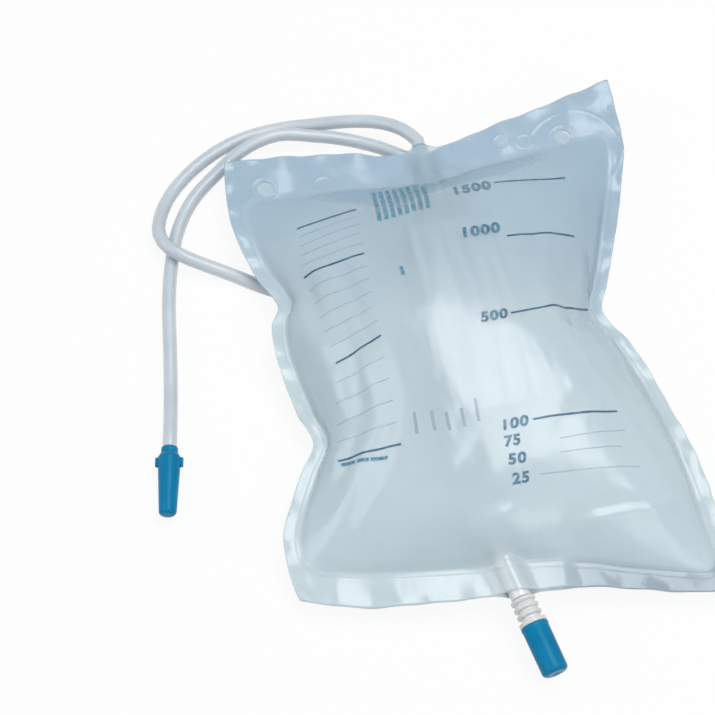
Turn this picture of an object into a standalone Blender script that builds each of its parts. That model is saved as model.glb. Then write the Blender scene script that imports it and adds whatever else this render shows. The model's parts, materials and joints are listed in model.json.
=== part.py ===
# Urine drainage bag lying on its back: two welded films, a flutter sleeve inside, an inlet
# tube with a capped catheter connector, and a ribbed outlet nozzle with its cap.
# Frame: origin on the resting face under the middle, +Y to the inlet, +Z up, metres.
import math

import bmesh
import bpy
from mathutils import Vector

# Gap left between pieces that touch, and between the two welded films
SEAT_GAP = 0.0003

# Films
FILM_THICKNESS = 0.0003
WELD_GAP = 0.0005
TOP_LEFT = (-0.105, 0.150)
TOP_RIGHT = (0.1197, 0.1583)
BOTTOM_LEFT = (-0.117, -0.1165)
BOTTOM_RIGHT = (0.110, -0.152)
SIDE_FLANGE = 0.010
TOP_FLANGE = 0.031
BOTTOM_LEFT_FLANGE = 0.023
BOTTOM_RIGHT_FLANGE = 0.009
CORNER_INSET = 0.002
CORNER_SHARPNESS = 8
CURLED_CORNER_INSET = 0.0045
CURL_SHARPNESS = 5
TOP_PULL_DECAY = 6

# How far the swollen bag draws each edge in from the straight line between its corners:
# share of the way along the edge (from the bottom or the left), and the pull
LEFT_PULLS = (
    (0.0, 0.0), (0.12, 0.0011), (0.165, 0.0034), (0.267, 0.0167), (0.325, 0.0254),
    (0.391, 0.0202), (0.51, 0.0140), (0.594, 0.0138), (0.639, 0.0189), (0.711, 0.0099),
    (0.786, 0.0035), (0.86, 0.0003), (1.0, 0.0),
)
RIGHT_PULLS = (
    (0.0, 0.0), (0.105, 0.0047), (0.213, 0.0078), (0.321, 0.0138), (0.40, 0.0204),
    (0.485, 0.0294), (0.538, 0.0379), (0.587, 0.0317), (0.725, 0.0150), (0.784, 0.0090),
    (0.86, 0.0023), (1.0, 0.0),
)
TOP_PULLS = (
    (0.0, 0.0), (0.112, 0.0051), (0.206, 0.0074), (0.305, 0.0116), (0.404, 0.0179),
    (0.507, 0.0195), (0.57, 0.0182), (0.655, 0.0143), (0.839, 0.0072), (1.0, 0.0),
)
BOTTOM_PULLS = (
    (0.0, 0.0), (0.253, 0.0), (0.471, 0.0030), (0.578, 0.0050), (0.667, 0.0055),
    (0.773, 0.0030), (1.0, 0.0),
)

# How squarely the chamber swells between its side welds and between its end welds
SIDE_SWELL = 2.3
END_SWELL = 2.6
SWELL_SHARPNESS = 0.72
BACK_SPREAD = 1.55

# Heights above the table
SEAM_HEIGHT = 0.0165
PILLOW_RISE = 0.044
TOP_LEFT_LIFT = 0.003
TOP_RIGHT_LIFT = 0.006
BOTTOM_LEFT_LIFT = -0.005
BOTTOM_RIGHT_LIFT = -0.007
REST_END_Y = 0.016
LIFTED_FROM_Y = 0.042
LIFT_OVER_TUBE = 0.0094
FLANGE_WAVE = 0.0022
FLANGE_WAVE_LENGTH = 0.043
FLANGE_WAVE_SLANT = 0.6
FLANGE_WAVE_START = 0.8

# Creases of the front film: start, end, depth (down is negative) and half width
CREASES = (
    ((0.080, 0.012), (0.030, -0.004), -0.0100, 0.0090),
    ((0.092, -0.034), (0.050, -0.032), -0.0045, 0.0085),
    ((0.088, 0.050), (0.056, 0.024), -0.0040, 0.0080),
    ((-0.086, -0.029), (-0.048, -0.024), -0.0065, 0.0090),
    ((-0.098, -0.056), (-0.060, -0.060), -0.0040, 0.0090),
    ((-0.092, 0.054), (-0.060, 0.047), -0.0050, 0.0085),
    ((0.104, -0.104), (0.042, -0.096), 0.0040, 0.0080),
    ((0.100, 0.112), (0.066, 0.084), 0.0035, 0.0090),
    ((-0.094, 0.110), (-0.062, 0.082), 0.0035, 0.0090),
    ((0.020, 0.118), (0.034, 0.084), -0.0040, 0.0090),
    ((-0.012, 0.118), (-0.030, 0.084), -0.0040, 0.0090),
    ((-0.022, -0.122), (-0.044, -0.092), -0.0045, 0.0090),
    ((0.022, -0.128), (0.034, -0.096), -0.0040, 0.0090),
)

# Hanging holes through the top flange
HANG_HOLE_DIAMETER = 0.009
HANG_HOLE_SPACING = 0.168
HANG_HOLE_Y = 0.1265

# Inlet tube, its port in the top seam, and the flutter sleeve below the port
TUBE_DIAMETER = 0.0075
INLET_X = 0.005
INLET_SEAM_Y = 0.131
PORT_DIAMETER = 0.0095
PORT_BORE = 0.0052
PORT_OUTSIDE = 0.006
PORT_INSIDE = 0.034
SLEEVE_TOP_WIDTH = 0.028
SLEEVE_WIDTH = 0.046
SLEEVE_WALL = 0.0003
SLEEVE_OPENING = 0.0016
SLEEVE_START = 0.015
SLEEVE_LENGTH = 0.162
SLEEVE_UNDER_FILM = 0.0036

# How the films open round what lies between them: reach beside a round piece in radii,
# and the start and end of each lead-in
SEAM_BEND_RADII = 4.2
OPENING_RADII = 2.4
SLEEVE_OPENING_RADII = 2.2
PASSAGE_LEAD = (0.012, 0.004)
SLEEVE_SIDE_LEAD = (0.001, 0.009)
SLEEVE_END_LEAD = (0.001, 0.006)
SLEEVE_FREE_LEAD = (0.030, 0.004)

# Outlet: clear tube in the bottom seam, ribbed nozzle and pull-off cap
OUTLET_X = -0.0045
OUTLET_SEAM_Y = -0.127
OUTLET_YAW = math.radians(10.5)
OUTLET_PITCH = math.radians(3.0)
OUTLET_TUBE_DIAMETER = 0.0106
OUTLET_TUBE_BORE = 0.0074
OUTLET_TUBE_INSIDE = 0.024
OUTLET_TUBE_OUTSIDE = 0.0065
NOZZLE_STUB_LENGTH = 0.009
NOZZLE_BORE = 0.0036
NOZZLE_BODY_DIAMETER = 0.0098
NOZZLE_RIB_DIAMETER = 0.0130
NOZZLE_RIB_WIDTH = 0.0024
NOZZLE_RIB_COUNT = 3
NOZZLE_NECK_SHARE = 0.6
NOZZLE_LENGTH = 0.0122
NOZZLE_COLLAR_WIDTH = 0.0022
NOZZLE_SPIGOT_DIAMETER = 0.0092
NOZZLE_SPIGOT_LENGTH = 0.016
OUTLET_CAP_DIAMETER = 0.0142
OUTLET_CAP_TIP_DIAMETER = 0.0134
OUTLET_CAP_LENGTH = 0.026
OUTLET_CAP_CAVITY = 0.018

# Catheter connector on the tube's free end, and its pull-off cap
CONNECTOR_START = (-0.1603, -0.0130)
CONNECTOR_HEIGHT = 0.0076
CONNECTOR_YAW = math.radians(-10.8)
SOCKET_DIAMETER = 0.0088
SOCKET_LENGTH = 0.0035
CONNECTOR_BORE = 0.0034
CONE_DIAMETER = 0.0072
CONE_TIP_DIAMETER = 0.0050
CONE_LENGTH = 0.026
CONE_STEPS = 3
CONE_STEP_HEIGHT = 0.0003
CAP_MOUTH_DIAMETER = 0.0102
CAP_SHOULDER_LENGTH = 0.0018
CAP_BODY_DIAMETER = 0.0120
CAP_TIP_DIAMETER = 0.0092
CAP_LUG_SPAN = 0.0146
CAP_LUG_THICKNESS = 0.0024
CAP_LUG_LENGTH = 0.0052
CAP_LUG_ROOT = 0.0003
CAP_LUG_ROUNDING = 0.0006
CAP_LENGTH = 0.034
CAP_TIP_WALL = 0.004
CAP_ROUNDING = 0.0022

# Where the tube runs, from the port to the connector, in millimetres
TUBE_ROUTE = (
    (-2, 152, 15.5), (-13, 160.5, 13), (-28, 166.5, 10), (-46, 171, 6), (-70, 173.5, 4.1),
    (-94, 170, 3.9), (-116.5, 159, 3.9), (-135, 142, 4.6), (-144.5, 122, 8.6), (-144, 108, 11.7),
    (-135.5, 98, 11.4), (-123, 91.5, 7), (-111, 85, 4.2), (-91, 71, 3.9), (-66, 59, 3.9),
    (-36, 52, 3.9), (0, 48, 3.9), (35, 49, 3.9), (66, 57, 3.9), (84, 76, 3.9),
    (82, 99, 3.9), (63, 114, 3.9), (42, 120, 3.9), (20, 127.5, 3.9), (1, 138.5, 3.9),
    (-15, 150, 3.9), (-32, 158.6, 4.3), (-50, 162.6, 7.6), (-70, 165.7, 10), (-90, 161.5, 8),
    (-108, 150.5, 4.3), (-124, 136, 3.9), (-135, 118, 3.9), (-142, 97, 3.9), (-147, 74, 3.9),
    (-151, 45, 3.9), (-155, 18, 4.2),
)
TUBE_POINT_SPACING = 0.0110

# Mesh resolution
TURN_SEGMENTS = 20
ROUNDING_STEPS = 3
ROUTE_STEPS = 24
COLUMN_CELLS = (2, 9, 8, 9, 2)
ROW_CELLS = (4, 3, 25, 4, 4)
MIDDLE_BAND = 0.020
END_BAND = 0.022
SLEEVE_COLUMNS = 8
SLEEVE_ROWS = 14


def clear_scene():
    for item in list(bpy.data.objects):
        bpy.data.objects.remove(item, do_unlink=True)


def material(name, colour, roughness, alpha=1.0):
    made = bpy.data.materials.new(name)
    made.use_nodes = True
    shader = made.node_tree.nodes["Principled BSDF"]
    shader.inputs["Base Color"].default_value = (*colour, 1.0)
    shader.inputs["Roughness"].default_value = roughness
    shader.inputs["Metallic"].default_value = 0.0
    shader.inputs["Alpha"].default_value = alpha
    return made


def add_object(name, mesh, look, parent=None):
    made = bpy.data.objects.new(name, mesh)
    made.data.materials.append(look)
    bpy.context.collection.objects.link(made)
    made.parent = parent
    return made


def smoothstep(low, high, value):
    share = min(1.0, max(0.0, (value - low) / (high - low)))
    return share * share * (3.0 - 2.0 * share)


def bump(distance, width):
    """A rounded hump: 1 at no distance, 0 from the width on."""
    if abs(distance) >= width:
        return 0.0
    return 0.5 + 0.5 * math.cos(math.pi * distance / width)


def between(first, second, share):
    return first + (second - first) * share


def pull_at(pulls, share):
    """Smooth curve through the (share, pull) points of one edge."""
    last = len(pulls) - 1
    index = 0
    while index < last - 1 and pulls[index + 1][0] < share:
        index += 1
    slopes = []
    for middle in (index, index + 1):
        before = pulls[max(0, middle - 1)]
        after = pulls[min(last, middle + 1)]
        slopes.append((after[1] - before[1]) / (after[0] - before[0]))
    start, end = pulls[index], pulls[index + 1]
    run = end[0] - start[0]
    u = min(1.0, max(0.0, (share - start[0]) / run))
    lead_in = (u ** 3 - 2.0 * u * u + u) * run * slopes[0]
    lead_out = (u ** 3 - u * u) * run * slopes[1]
    return between(start[1], end[1], smoothstep(0.0, 1.0, u)) + lead_in + lead_out


# The bag's outline. s runs across from -1 (left) to 1, t along from -1 (bottom) to 1.

def mean_half_width():
    top = TOP_RIGHT[0] - TOP_LEFT[0]
    bottom = BOTTOM_RIGHT[0] - BOTTOM_LEFT[0]
    return (top + bottom) / 4.0


def mean_half_length():
    left = TOP_LEFT[1] - BOTTOM_LEFT[1]
    right = TOP_RIGHT[1] - BOTTOM_RIGHT[1]
    return (left + right) / 4.0


def outline_point(s, t):
    """Place of a film point in plan: a quadrilateral whose four edges are drawn in."""
    across = (1.0 + s) / 2.0
    along = (1.0 + t) / 2.0
    bottom_x = between(BOTTOM_LEFT[0], BOTTOM_RIGHT[0], across)
    bottom_y = between(BOTTOM_LEFT[1], BOTTOM_RIGHT[1], across)
    top_x = between(TOP_LEFT[0], TOP_RIGHT[0], across)
    top_y = between(TOP_LEFT[1], TOP_RIGHT[1], across)
    x = between(bottom_x, top_x, along)
    y = between(bottom_y, top_y, along)
    x += pull_at(LEFT_PULLS, along) * (1.0 - across)
    x -= pull_at(RIGHT_PULLS, along) * across
    y -= pull_at(TOP_PULLS, across) * along ** TOP_PULL_DECAY
    y += pull_at(BOTTOM_PULLS, across) * (1.0 - along)
    corner = abs(s * t) ** CORNER_SHARPNESS
    curled = (max(0.0, -s) * max(0.0, -t)) ** CURL_SHARPNESS
    inset = CORNER_INSET * corner + CURLED_CORNER_INSET * curled
    x -= math.copysign(inset, s)
    y -= math.copysign(inset, t)
    return x, y


def weld_low(s):
    """Where the bottom weld crosses the column s: its flange narrows from left to right."""
    flange = between(BOTTOM_LEFT_FLANGE, BOTTOM_RIGHT_FLANGE, (1.0 + s) / 2.0)
    return -1.0 + flange / mean_half_length()


def weld_high():
    return 1.0 - TOP_FLANGE / mean_half_length()


def chamber_place(s, t):
    """Place inside the welded chamber: -1 to 1 both ways between the weld lines."""
    low = weld_low(s)
    high = weld_high()
    u = s / (1.0 - SIDE_FLANGE / mean_half_width())
    v = (2.0 * t - low - high) / (high - low)
    return u, v


def fullness(s, t):
    """How far the chamber stands open: 0 on the weld line and in the flange, 1 in the middle."""
    u, v = chamber_place(s, t)
    if abs(u) >= 1.0 or abs(v) >= 1.0:
        return 0.0
    return ((1.0 - abs(u) ** SIDE_SWELL) * (1.0 - abs(v) ** END_SWELL)) ** SWELL_SHARPNESS


def flange_share(s, t):
    """0 inside the chamber, rising to 1 at the film's outer edge."""
    u, v = chamber_place(s, t)
    edge_u = chamber_place(1.0, t)[0]
    edge_v = abs(chamber_place(s, math.copysign(1.0, t))[1])
    outside = max((abs(u) - 1.0) / (edge_u - 1.0), (abs(v) - 1.0) / (edge_v - 1.0), 0.0)
    return min(1.0, outside)


def seam_height(s, t, x, y):
    left = max(0.0, -s) ** 2
    right = max(0.0, s) ** 2
    top = max(0.0, t) ** 2
    bottom = max(0.0, -t) ** 2
    height = SEAM_HEIGHT
    height += TOP_LEFT_LIFT * left * top + TOP_RIGHT_LIFT * right * top
    height += BOTTOM_LEFT_LIFT * left * bottom + BOTTOM_RIGHT_LIFT * right * bottom
    turn = 2.0 * math.pi / FLANGE_WAVE_LENGTH
    wave = math.sin(turn * x) * math.cos(FLANGE_WAVE_SLANT * turn * y + FLANGE_WAVE_START)
    return height + FLANGE_WAVE * wave * flange_share(s, t) * abs(s)


class Passage:
    """A round piece that lies between the films, which open round it."""

    def __init__(self, x, y, yaw, pitch, radius, inner, sleeve_width=0.0):
        self.x = x
        self.y = y
        self.height = SEAM_HEIGHT
        self.away = (math.sin(yaw), math.cos(yaw))
        self.slope = -math.tan(pitch)
        self.radius = radius
        self.inner = inner
        self.sleeve_width = sleeve_width

    def shares(self, x, y):
        """Distance out along the axis, how near it is, and the films' opening there."""
        along = (x - self.x) * self.away[0] + (y - self.y) * self.away[1]
        across = (x - self.x) * self.away[1] - (y - self.y) * self.away[0]
        reach = smoothstep(-self.inner - PASSAGE_LEAD[0], -self.inner - PASSAGE_LEAD[1], along)
        near = bump(across, SEAM_BEND_RADII * self.radius) * reach
        beside_round = bump(across, OPENING_RADII * self.radius)
        opening = (self.radius + FILM_CLEARANCE) * beside_round * reach
        if self.sleeve_width:
            edge = self.sleeve_width / 2.0
            beside = 1.0 - smoothstep(edge + SLEEVE_SIDE_LEAD[0], edge + SLEEVE_SIDE_LEAD[1], abs(across))
            end = -SLEEVE_START
            below = 1.0 - smoothstep(end + SLEEVE_END_LEAD[0], end + SLEEVE_END_LEAD[1], along)
            opening = max(opening, (SLEEVE_HALF + 2.0 * SEAT_GAP) * beside * below)
            near = max(near, beside * reach)
        return along, near, opening


def inlet_passage():
    radius = PORT_DIAMETER / 2.0
    return Passage(INLET_X, INLET_SEAM_Y, 0.0, 0.0, radius, PORT_INSIDE, SLEEVE_TOP_WIDTH)


def outlet_passage():
    radius = OUTLET_TUBE_DIAMETER / 2.0
    yaw = math.pi - OUTLET_YAW
    return Passage(OUTLET_X, OUTLET_SEAM_Y, yaw, OUTLET_PITCH, radius, OUTLET_TUBE_INSIDE)


def crease_depth(x, y):
    total = 0.0
    for start, end, depth, width in CREASES:
        run = (end[0] - start[0], end[1] - start[1])
        length = math.hypot(*run)
        along = ((x - start[0]) * run[0] + (y - start[1]) * run[1]) / length
        across = ((x - start[0]) * run[1] - (y - start[1]) * run[0]) / length
        risen = smoothstep(-0.35 * length, 0.15 * length, along)
        fallen = smoothstep(0.45 * length, length, along)
        total += depth * risen * (1.0 - fallen) * math.exp(-((across / width) ** 2))
    return total


def rest_height(y):
    """Height of the back film's underside: on the table below, over the looped tube above."""
    return LIFT_OVER_TUBE * smoothstep(REST_END_Y, LIFTED_FROM_Y, y)


# Clearances that the films keep from the sleeve and the port inside them
SLEEVE_HALF = SLEEVE_OPENING / 2.0 + SLEEVE_WALL
FILM_MIDDLE = (WELD_GAP + FILM_THICKNESS) / 2.0
FILM_CLEARANCE = SLEEVE_WALL + 3.0 * SEAT_GAP


def front_point(s, t, passages):
    x, y = outline_point(s, t)
    seam = seam_height(s, t, x, y)
    full = fullness(s, t)
    rise = PILLOW_RISE * full + crease_depth(x, y) * min(1.0, 2.5 * full)
    for passage in passages:
        along, near, opening = passage.shares(x, y)
        axis = passage.height + passage.slope * along
        seam = between(seam, axis, near * (1.0 - full))
        rise = max(rise, opening)
    return Vector((x, y, seam + rise + FILM_MIDDLE))


def back_point(s, t, passages):
    x, y = outline_point(s, t)
    seam = seam_height(s, t, x, y)
    full = min(1.0, BACK_SPREAD * fullness(s, t))
    if full > 0.5:
        full = smoothstep(0.0, 1.0, full)
    rest = rest_height(y) + FILM_THICKNESS / 2.0
    height = between(seam - FILM_MIDDLE, rest, full)
    for passage in passages:
        along, near, opening = passage.shares(x, y)
        axis = passage.height + passage.slope * along
        height = between(height, axis - FILM_MIDDLE, near * (1.0 - min(1.0, 2.0 * full)))
        if opening > 0.0:
            height = min(height, axis - opening - FILM_MIDDLE)
    return Vector((x, y, max(height, rest)))


def stations(stops, cells):
    places = [stops[0]]
    for low, high, count in zip(stops, stops[1:], cells):
        for step in range(count):
            places.append(between(low, high, (step + 1) / count))
    return places


def film_columns():
    edge = 1.0 - SIDE_FLANGE / mean_half_width()
    middle = MIDDLE_BAND / mean_half_width()
    return stations((-1.0, -edge, -middle, middle, edge, 1.0), COLUMN_CELLS)


def film_rows(s):
    """Where the film's rows cross the column s. One row lies on each weld line."""
    low = weld_low(s)
    high = weld_high()
    band = END_BAND / mean_half_length()
    return stations((-1.0, low, low + band, high - band, high, 1.0), ROW_CELLS)


def sheet_mesh(name, place):
    """An open sheet through place(s, t) on the film's rows and columns."""
    shape = bmesh.new()
    grid = [[shape.verts.new(place(s, t)) for t in film_rows(s)] for s in film_columns()]
    for left, right in zip(grid, grid[1:]):
        for i in range(len(left) - 1):
            shape.faces.new((left[i], right[i], right[i + 1]))
            shape.faces.new((left[i], right[i + 1], left[i + 1]))
    mesh = bpy.data.meshes.new(name)
    shape.to_mesh(mesh)
    shape.free()
    mesh.shade_smooth()
    return mesh


def hang_hole_cutter(name, x):
    mesh = bpy.data.meshes.new(name)
    shape = bmesh.new()
    radius = HANG_HOLE_DIAMETER / 2.0
    bmesh.ops.create_cone(
        shape, cap_ends=True, segments=TURN_SEGMENTS, radius1=radius, radius2=radius, depth=4.0 * SEAM_HEIGHT
    )
    shape.to_mesh(mesh)
    shape.free()
    cutter = bpy.data.objects.new(name, mesh)
    bpy.context.collection.objects.link(cutter)
    cutter.location = (x, HANG_HOLE_Y, SEAM_HEIGHT)
    cutter.hide_render = True
    cutter.display_type = "WIRE"
    return cutter


def add_film(name, place, look, cutters):
    film = add_object(name, sheet_mesh(name, place), look)
    wall = film.modifiers.new("wall", "SOLIDIFY")
    wall.thickness = FILM_THICKNESS
    wall.offset = 0.0
    for cutter in cutters:
        hole = film.modifiers.new(cutter.name, "BOOLEAN")
        hole.operation = "DIFFERENCE"
        hole.object = cutter
    return film


def sleeve_height(x, y, passages):
    """Height of the sleeve's mid-plane, just under the front film at a plan place.

    The place's s and t are found by stepping along the film.
    """
    s = 0.0
    t = 0.0
    for _ in range(12):
        here = outline_point(s, t)
        s += (x - here[0]) / mean_half_width()
        t += (y - here[1]) / mean_half_length()
    return front_point(s, t, passages).z - FILM_MIDDLE - SLEEVE_UNDER_FILM


def sleeve_section(y, width, freed, passages):
    """Outer and inner points once round the sleeve at y: round the port, then flat when freed."""
    port = passages[0]
    outer = []
    inner = []
    for side in (1, -1):
        for column in range(SLEEVE_COLUMNS):
            across = side * between(-0.5, 0.5, column / SLEEVE_COLUMNS) * width
            x = INLET_X + across
            edge = 2.0 * across / width
            centre = between(port.height, sleeve_height(x, y, passages), freed)
            beside_port = bump(across, SLEEVE_OPENING_RADII * port.radius) * (1.0 - freed)
            round_port = (port.radius + 1.5 * SEAT_GAP) * beside_port
            opening = max(SLEEVE_OPENING / 2.0 * (1.0 - edge ** 4), round_port)
            wall = SLEEVE_WALL
            if column == 0:
                opening = 0.0
                wall = 0.0
            outer.append((x, y, centre + side * (opening + wall)))
            inner.append((x - 2.0 * SLEEVE_WALL * edge ** 3, y, centre + side * opening))
    return outer, inner


def bridge_rings(shape, rings, inward):
    for low, high in zip(rings, rings[1:]):
        count = len(low)
        for i in range(count):
            corners = [low[i], low[(i + 1) % count], high[(i + 1) % count], high[i]]
            if inward:
                corners.reverse()
            shape.faces.new(corners)


def add_sleeve(passages, look):
    """The flutter sleeve: a flattened film tube, open at both ends, whose top goes round the port."""
    start_y = INLET_SEAM_Y - SLEEVE_START
    port_end = INLET_SEAM_Y - PORT_INSIDE
    shape = bmesh.new()
    outer_rings = []
    inner_rings = []
    for row in range(SLEEVE_ROWS + 1):
        share = row / SLEEVE_ROWS
        y = start_y - SLEEVE_LENGTH * share
        width = between(SLEEVE_TOP_WIDTH, SLEEVE_WIDTH, smoothstep(0.0, 0.35, share))
        freed = 1.0 - smoothstep(port_end - SLEEVE_FREE_LEAD[0], port_end - SLEEVE_FREE_LEAD[1], y)
        outer, inner = sleeve_section(y, width, freed, passages)
        outer_rings.append([shape.verts.new(place) for place in outer])
        inner_rings.append([shape.verts.new(place) for place in inner])
    bridge_rings(shape, outer_rings, False)
    bridge_rings(shape, inner_rings, True)
    bridge_rings(shape, [inner_rings[0], outer_rings[0]], False)
    bridge_rings(shape, [outer_rings[-1], inner_rings[-1]], False)
    bmesh.ops.recalc_face_normals(shape, faces=shape.faces)
    mesh = bpy.data.meshes.new("flutter_sleeve")
    shape.to_mesh(mesh)
    shape.free()
    return add_object("flutter_sleeve", mesh, look)


def axis_empty(name, location, direction):
    """An empty whose +Z runs along direction."""
    made = bpy.data.objects.new(name, None)
    bpy.context.collection.objects.link(made)
    made.location = location
    made.rotation_mode = "QUATERNION"
    made.rotation_quaternion = Vector(direction).to_track_quat("Z", "Y")
    return made


def turned_mesh(name, profile):
    """A body turned round Z from a closed profile of (radius, z) points. Points on the axis close it."""
    shape = bmesh.new()
    ring = [shape.verts.new((radius, 0.0, z)) for radius, z in profile]
    loop = list(zip(ring, ring[1:]))
    if profile[0][0] > 0.0:
        loop.append((ring[-1], ring[0]))
    edges = [shape.edges.new(pair) for pair in loop]
    bmesh.ops.spin(
        shape, geom=ring + edges, axis=(0, 0, 1), cent=(0, 0, 0), steps=TURN_SEGMENTS, angle=2.0 * math.pi
    )
    bmesh.ops.remove_doubles(shape, verts=shape.verts, dist=0.000001)
    bmesh.ops.recalc_face_normals(shape, faces=shape.faces)
    mesh = bpy.data.meshes.new(name)
    shape.to_mesh(mesh)
    shape.free()
    mesh.shade_smooth()
    mesh.set_sharp_from_angle(angle=math.radians(35.0))
    return mesh


def add_turned(name, profile, look, parent):
    return add_object(name, turned_mesh(name, profile), look, parent)


def rounded_end(radius, end, rounding):
    """Profile points of a rounded outer edge, from the side round to the flat end."""
    points = []
    for step in range(ROUNDING_STEPS + 1):
        angle = math.radians(90.0) * step / ROUNDING_STEPS
        out = radius - rounding + rounding * math.cos(angle)
        points.append((out, end - rounding + rounding * math.sin(angle)))
    return points


def port_profile():
    outer = PORT_DIAMETER / 2.0
    bore = PORT_BORE / 2.0
    soft = 0.0006
    return [
        (bore, -PORT_INSIDE), (outer - soft, -PORT_INSIDE), (outer, -PORT_INSIDE + soft),
        (outer, PORT_OUTSIDE - soft), (outer - soft, PORT_OUTSIDE), (bore, PORT_OUTSIDE),
    ]


def outlet_tube_profile():
    outer = OUTLET_TUBE_DIAMETER / 2.0
    bore = OUTLET_TUBE_BORE / 2.0
    return [
        (bore, -OUTLET_TUBE_INSIDE), (outer, -OUTLET_TUBE_INSIDE),
        (outer, OUTLET_TUBE_OUTSIDE), (bore, OUTLET_TUBE_OUTSIDE),
    ]


def nozzle_profile():
    """Stub in the tube's bore, ribbed grip, collar, and the spigot that the cap sits on."""
    bore = NOZZLE_BORE / 2.0
    stub = OUTLET_TUBE_BORE / 2.0 - SEAT_GAP
    body = NOZZLE_BODY_DIAMETER / 2.0
    rib = NOZZLE_RIB_DIAMETER / 2.0
    spigot = NOZZLE_SPIGOT_DIAMETER / 2.0
    collar = OUTLET_CAP_DIAMETER / 2.0
    start = OUTLET_TUBE_OUTSIDE + SEAT_GAP
    grip_end = start + NOZZLE_LENGTH
    pitch = (NOZZLE_LENGTH - NOZZLE_RIB_WIDTH) / (NOZZLE_RIB_COUNT - 1 + NOZZLE_NECK_SHARE)
    points = [(bore, start - NOZZLE_STUB_LENGTH), (stub, start - NOZZLE_STUB_LENGTH), (stub, start)]
    for index in range(NOZZLE_RIB_COUNT):
        low = start + index * pitch
        points += [
            (body, low), (rib, low + 0.25 * NOZZLE_RIB_WIDTH),
            (rib, low + 0.75 * NOZZLE_RIB_WIDTH), (body, low + NOZZLE_RIB_WIDTH),
        ]
    collar_end = grip_end + NOZZLE_COLLAR_WIDTH
    tip = collar_end + NOZZLE_SPIGOT_LENGTH
    points += [(body, grip_end), (collar, grip_end), (collar, collar_end), (spigot, collar_end)]
    points += [(spigot, tip), (bore, tip)]
    return points


def outlet_cap_profile():
    spigot = NOZZLE_SPIGOT_DIAMETER / 2.0 + SEAT_GAP
    mouth = OUTLET_TUBE_OUTSIDE + NOZZLE_LENGTH + NOZZLE_COLLAR_WIDTH + 2.0 * SEAT_GAP
    end = mouth + OUTLET_CAP_LENGTH
    side = OUTLET_CAP_DIAMETER / 2.0
    points = [(0.0, mouth + OUTLET_CAP_CAVITY), (spigot, mouth + OUTLET_CAP_CAVITY), (spigot, mouth)]
    points += [(side - CONE_STEP_HEIGHT, mouth), (side, mouth + CONE_STEP_HEIGHT)]
    points += rounded_end(OUTLET_CAP_TIP_DIAMETER / 2.0, end, CAP_ROUNDING)
    points.append((0.0, end))
    return points


def connector_profile():
    """Socket face to face with the tube, shoulder against the cap, and the stepped cone inside it."""
    bore = CONNECTOR_BORE / 2.0
    socket = SOCKET_DIAMETER / 2.0
    points = [(bore, 0.0), (socket, 0.0), (socket, SOCKET_LENGTH)]
    for step in range(CONE_STEPS):
        start = step / CONE_STEPS
        end = (step + 1) / CONE_STEPS
        low = between(CONE_DIAMETER, CONE_TIP_DIAMETER, start) / 2.0
        high = between(CONE_DIAMETER, CONE_TIP_DIAMETER, end) / 2.0 + CONE_STEP_HEIGHT / 2.0
        points.append((low, SOCKET_LENGTH + CONE_LENGTH * start))
        points.append((high, SOCKET_LENGTH + CONE_LENGTH * end))
    points.append((bore, SOCKET_LENGTH + CONE_LENGTH))
    return points


def connector_cap_profile():
    mouth = SOCKET_LENGTH + SEAT_GAP
    wide = CONE_DIAMETER / 2.0 + SEAT_GAP + CONE_STEP_HEIGHT
    narrow = CONE_TIP_DIAMETER / 2.0 + SEAT_GAP + CONE_STEP_HEIGHT
    depth = mouth + CAP_LENGTH - CAP_TIP_WALL
    shoulder = mouth + CAP_SHOULDER_LENGTH
    points = [(0.0, depth), (narrow, depth), (wide, mouth)]
    points += [(CAP_MOUTH_DIAMETER / 2.0, mouth), (CAP_BODY_DIAMETER / 2.0, shoulder)]
    points += rounded_end(CAP_TIP_DIAMETER / 2.0, mouth + CAP_LENGTH, CAP_ROUNDING)
    points.append((0.0, mouth + CAP_LENGTH))
    return points


def cap_lug(name, side, parent):
    """One of the two finger lugs that stand out beside the cap's mouth, rooted in its wall."""
    inside = (CAP_BODY_DIAMETER + CAP_MOUTH_DIAMETER) / 4.0 - CAP_LUG_ROOT
    outside = CAP_LUG_SPAN / 2.0
    start = SOCKET_LENGTH + SEAT_GAP + CAP_SHOULDER_LENGTH
    shape = bmesh.new()
    bmesh.ops.create_cube(shape, size=1.0)
    bmesh.ops.scale(shape, vec=(outside - inside, CAP_LUG_THICKNESS, CAP_LUG_LENGTH), verts=shape.verts)
    outer_edges = [
        edge for edge in shape.edges
        if all(corner.co.x * side > 0.0 for corner in edge.verts)
    ]
    bmesh.ops.bevel(shape, geom=outer_edges, offset=CAP_LUG_ROUNDING, segments=2, affect="EDGES")
    place = Vector((side * (inside + outside) / 2.0, 0.0, start + CAP_LUG_LENGTH / 2.0))
    bmesh.ops.translate(shape, vec=place, verts=shape.verts)
    mesh = bpy.data.meshes.new(name)
    shape.to_mesh(mesh)
    shape.free()
    lug = bpy.data.objects.new(name, mesh)
    bpy.context.collection.objects.link(lug)
    lug.parent = parent
    lug.hide_render = True
    lug.display_type = "WIRE"
    return lug


def add_connector_cap(look, parent):
    cap = add_turned("connector_cap", connector_cap_profile(), look, parent)
    for name, side in (("cap_lug_left", -1.0), ("cap_lug_right", 1.0)):
        joined = cap.modifiers.new(name, "BOOLEAN")
        joined.operation = "UNION"
        joined.object = cap_lug(name, side, parent)
    return cap


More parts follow.
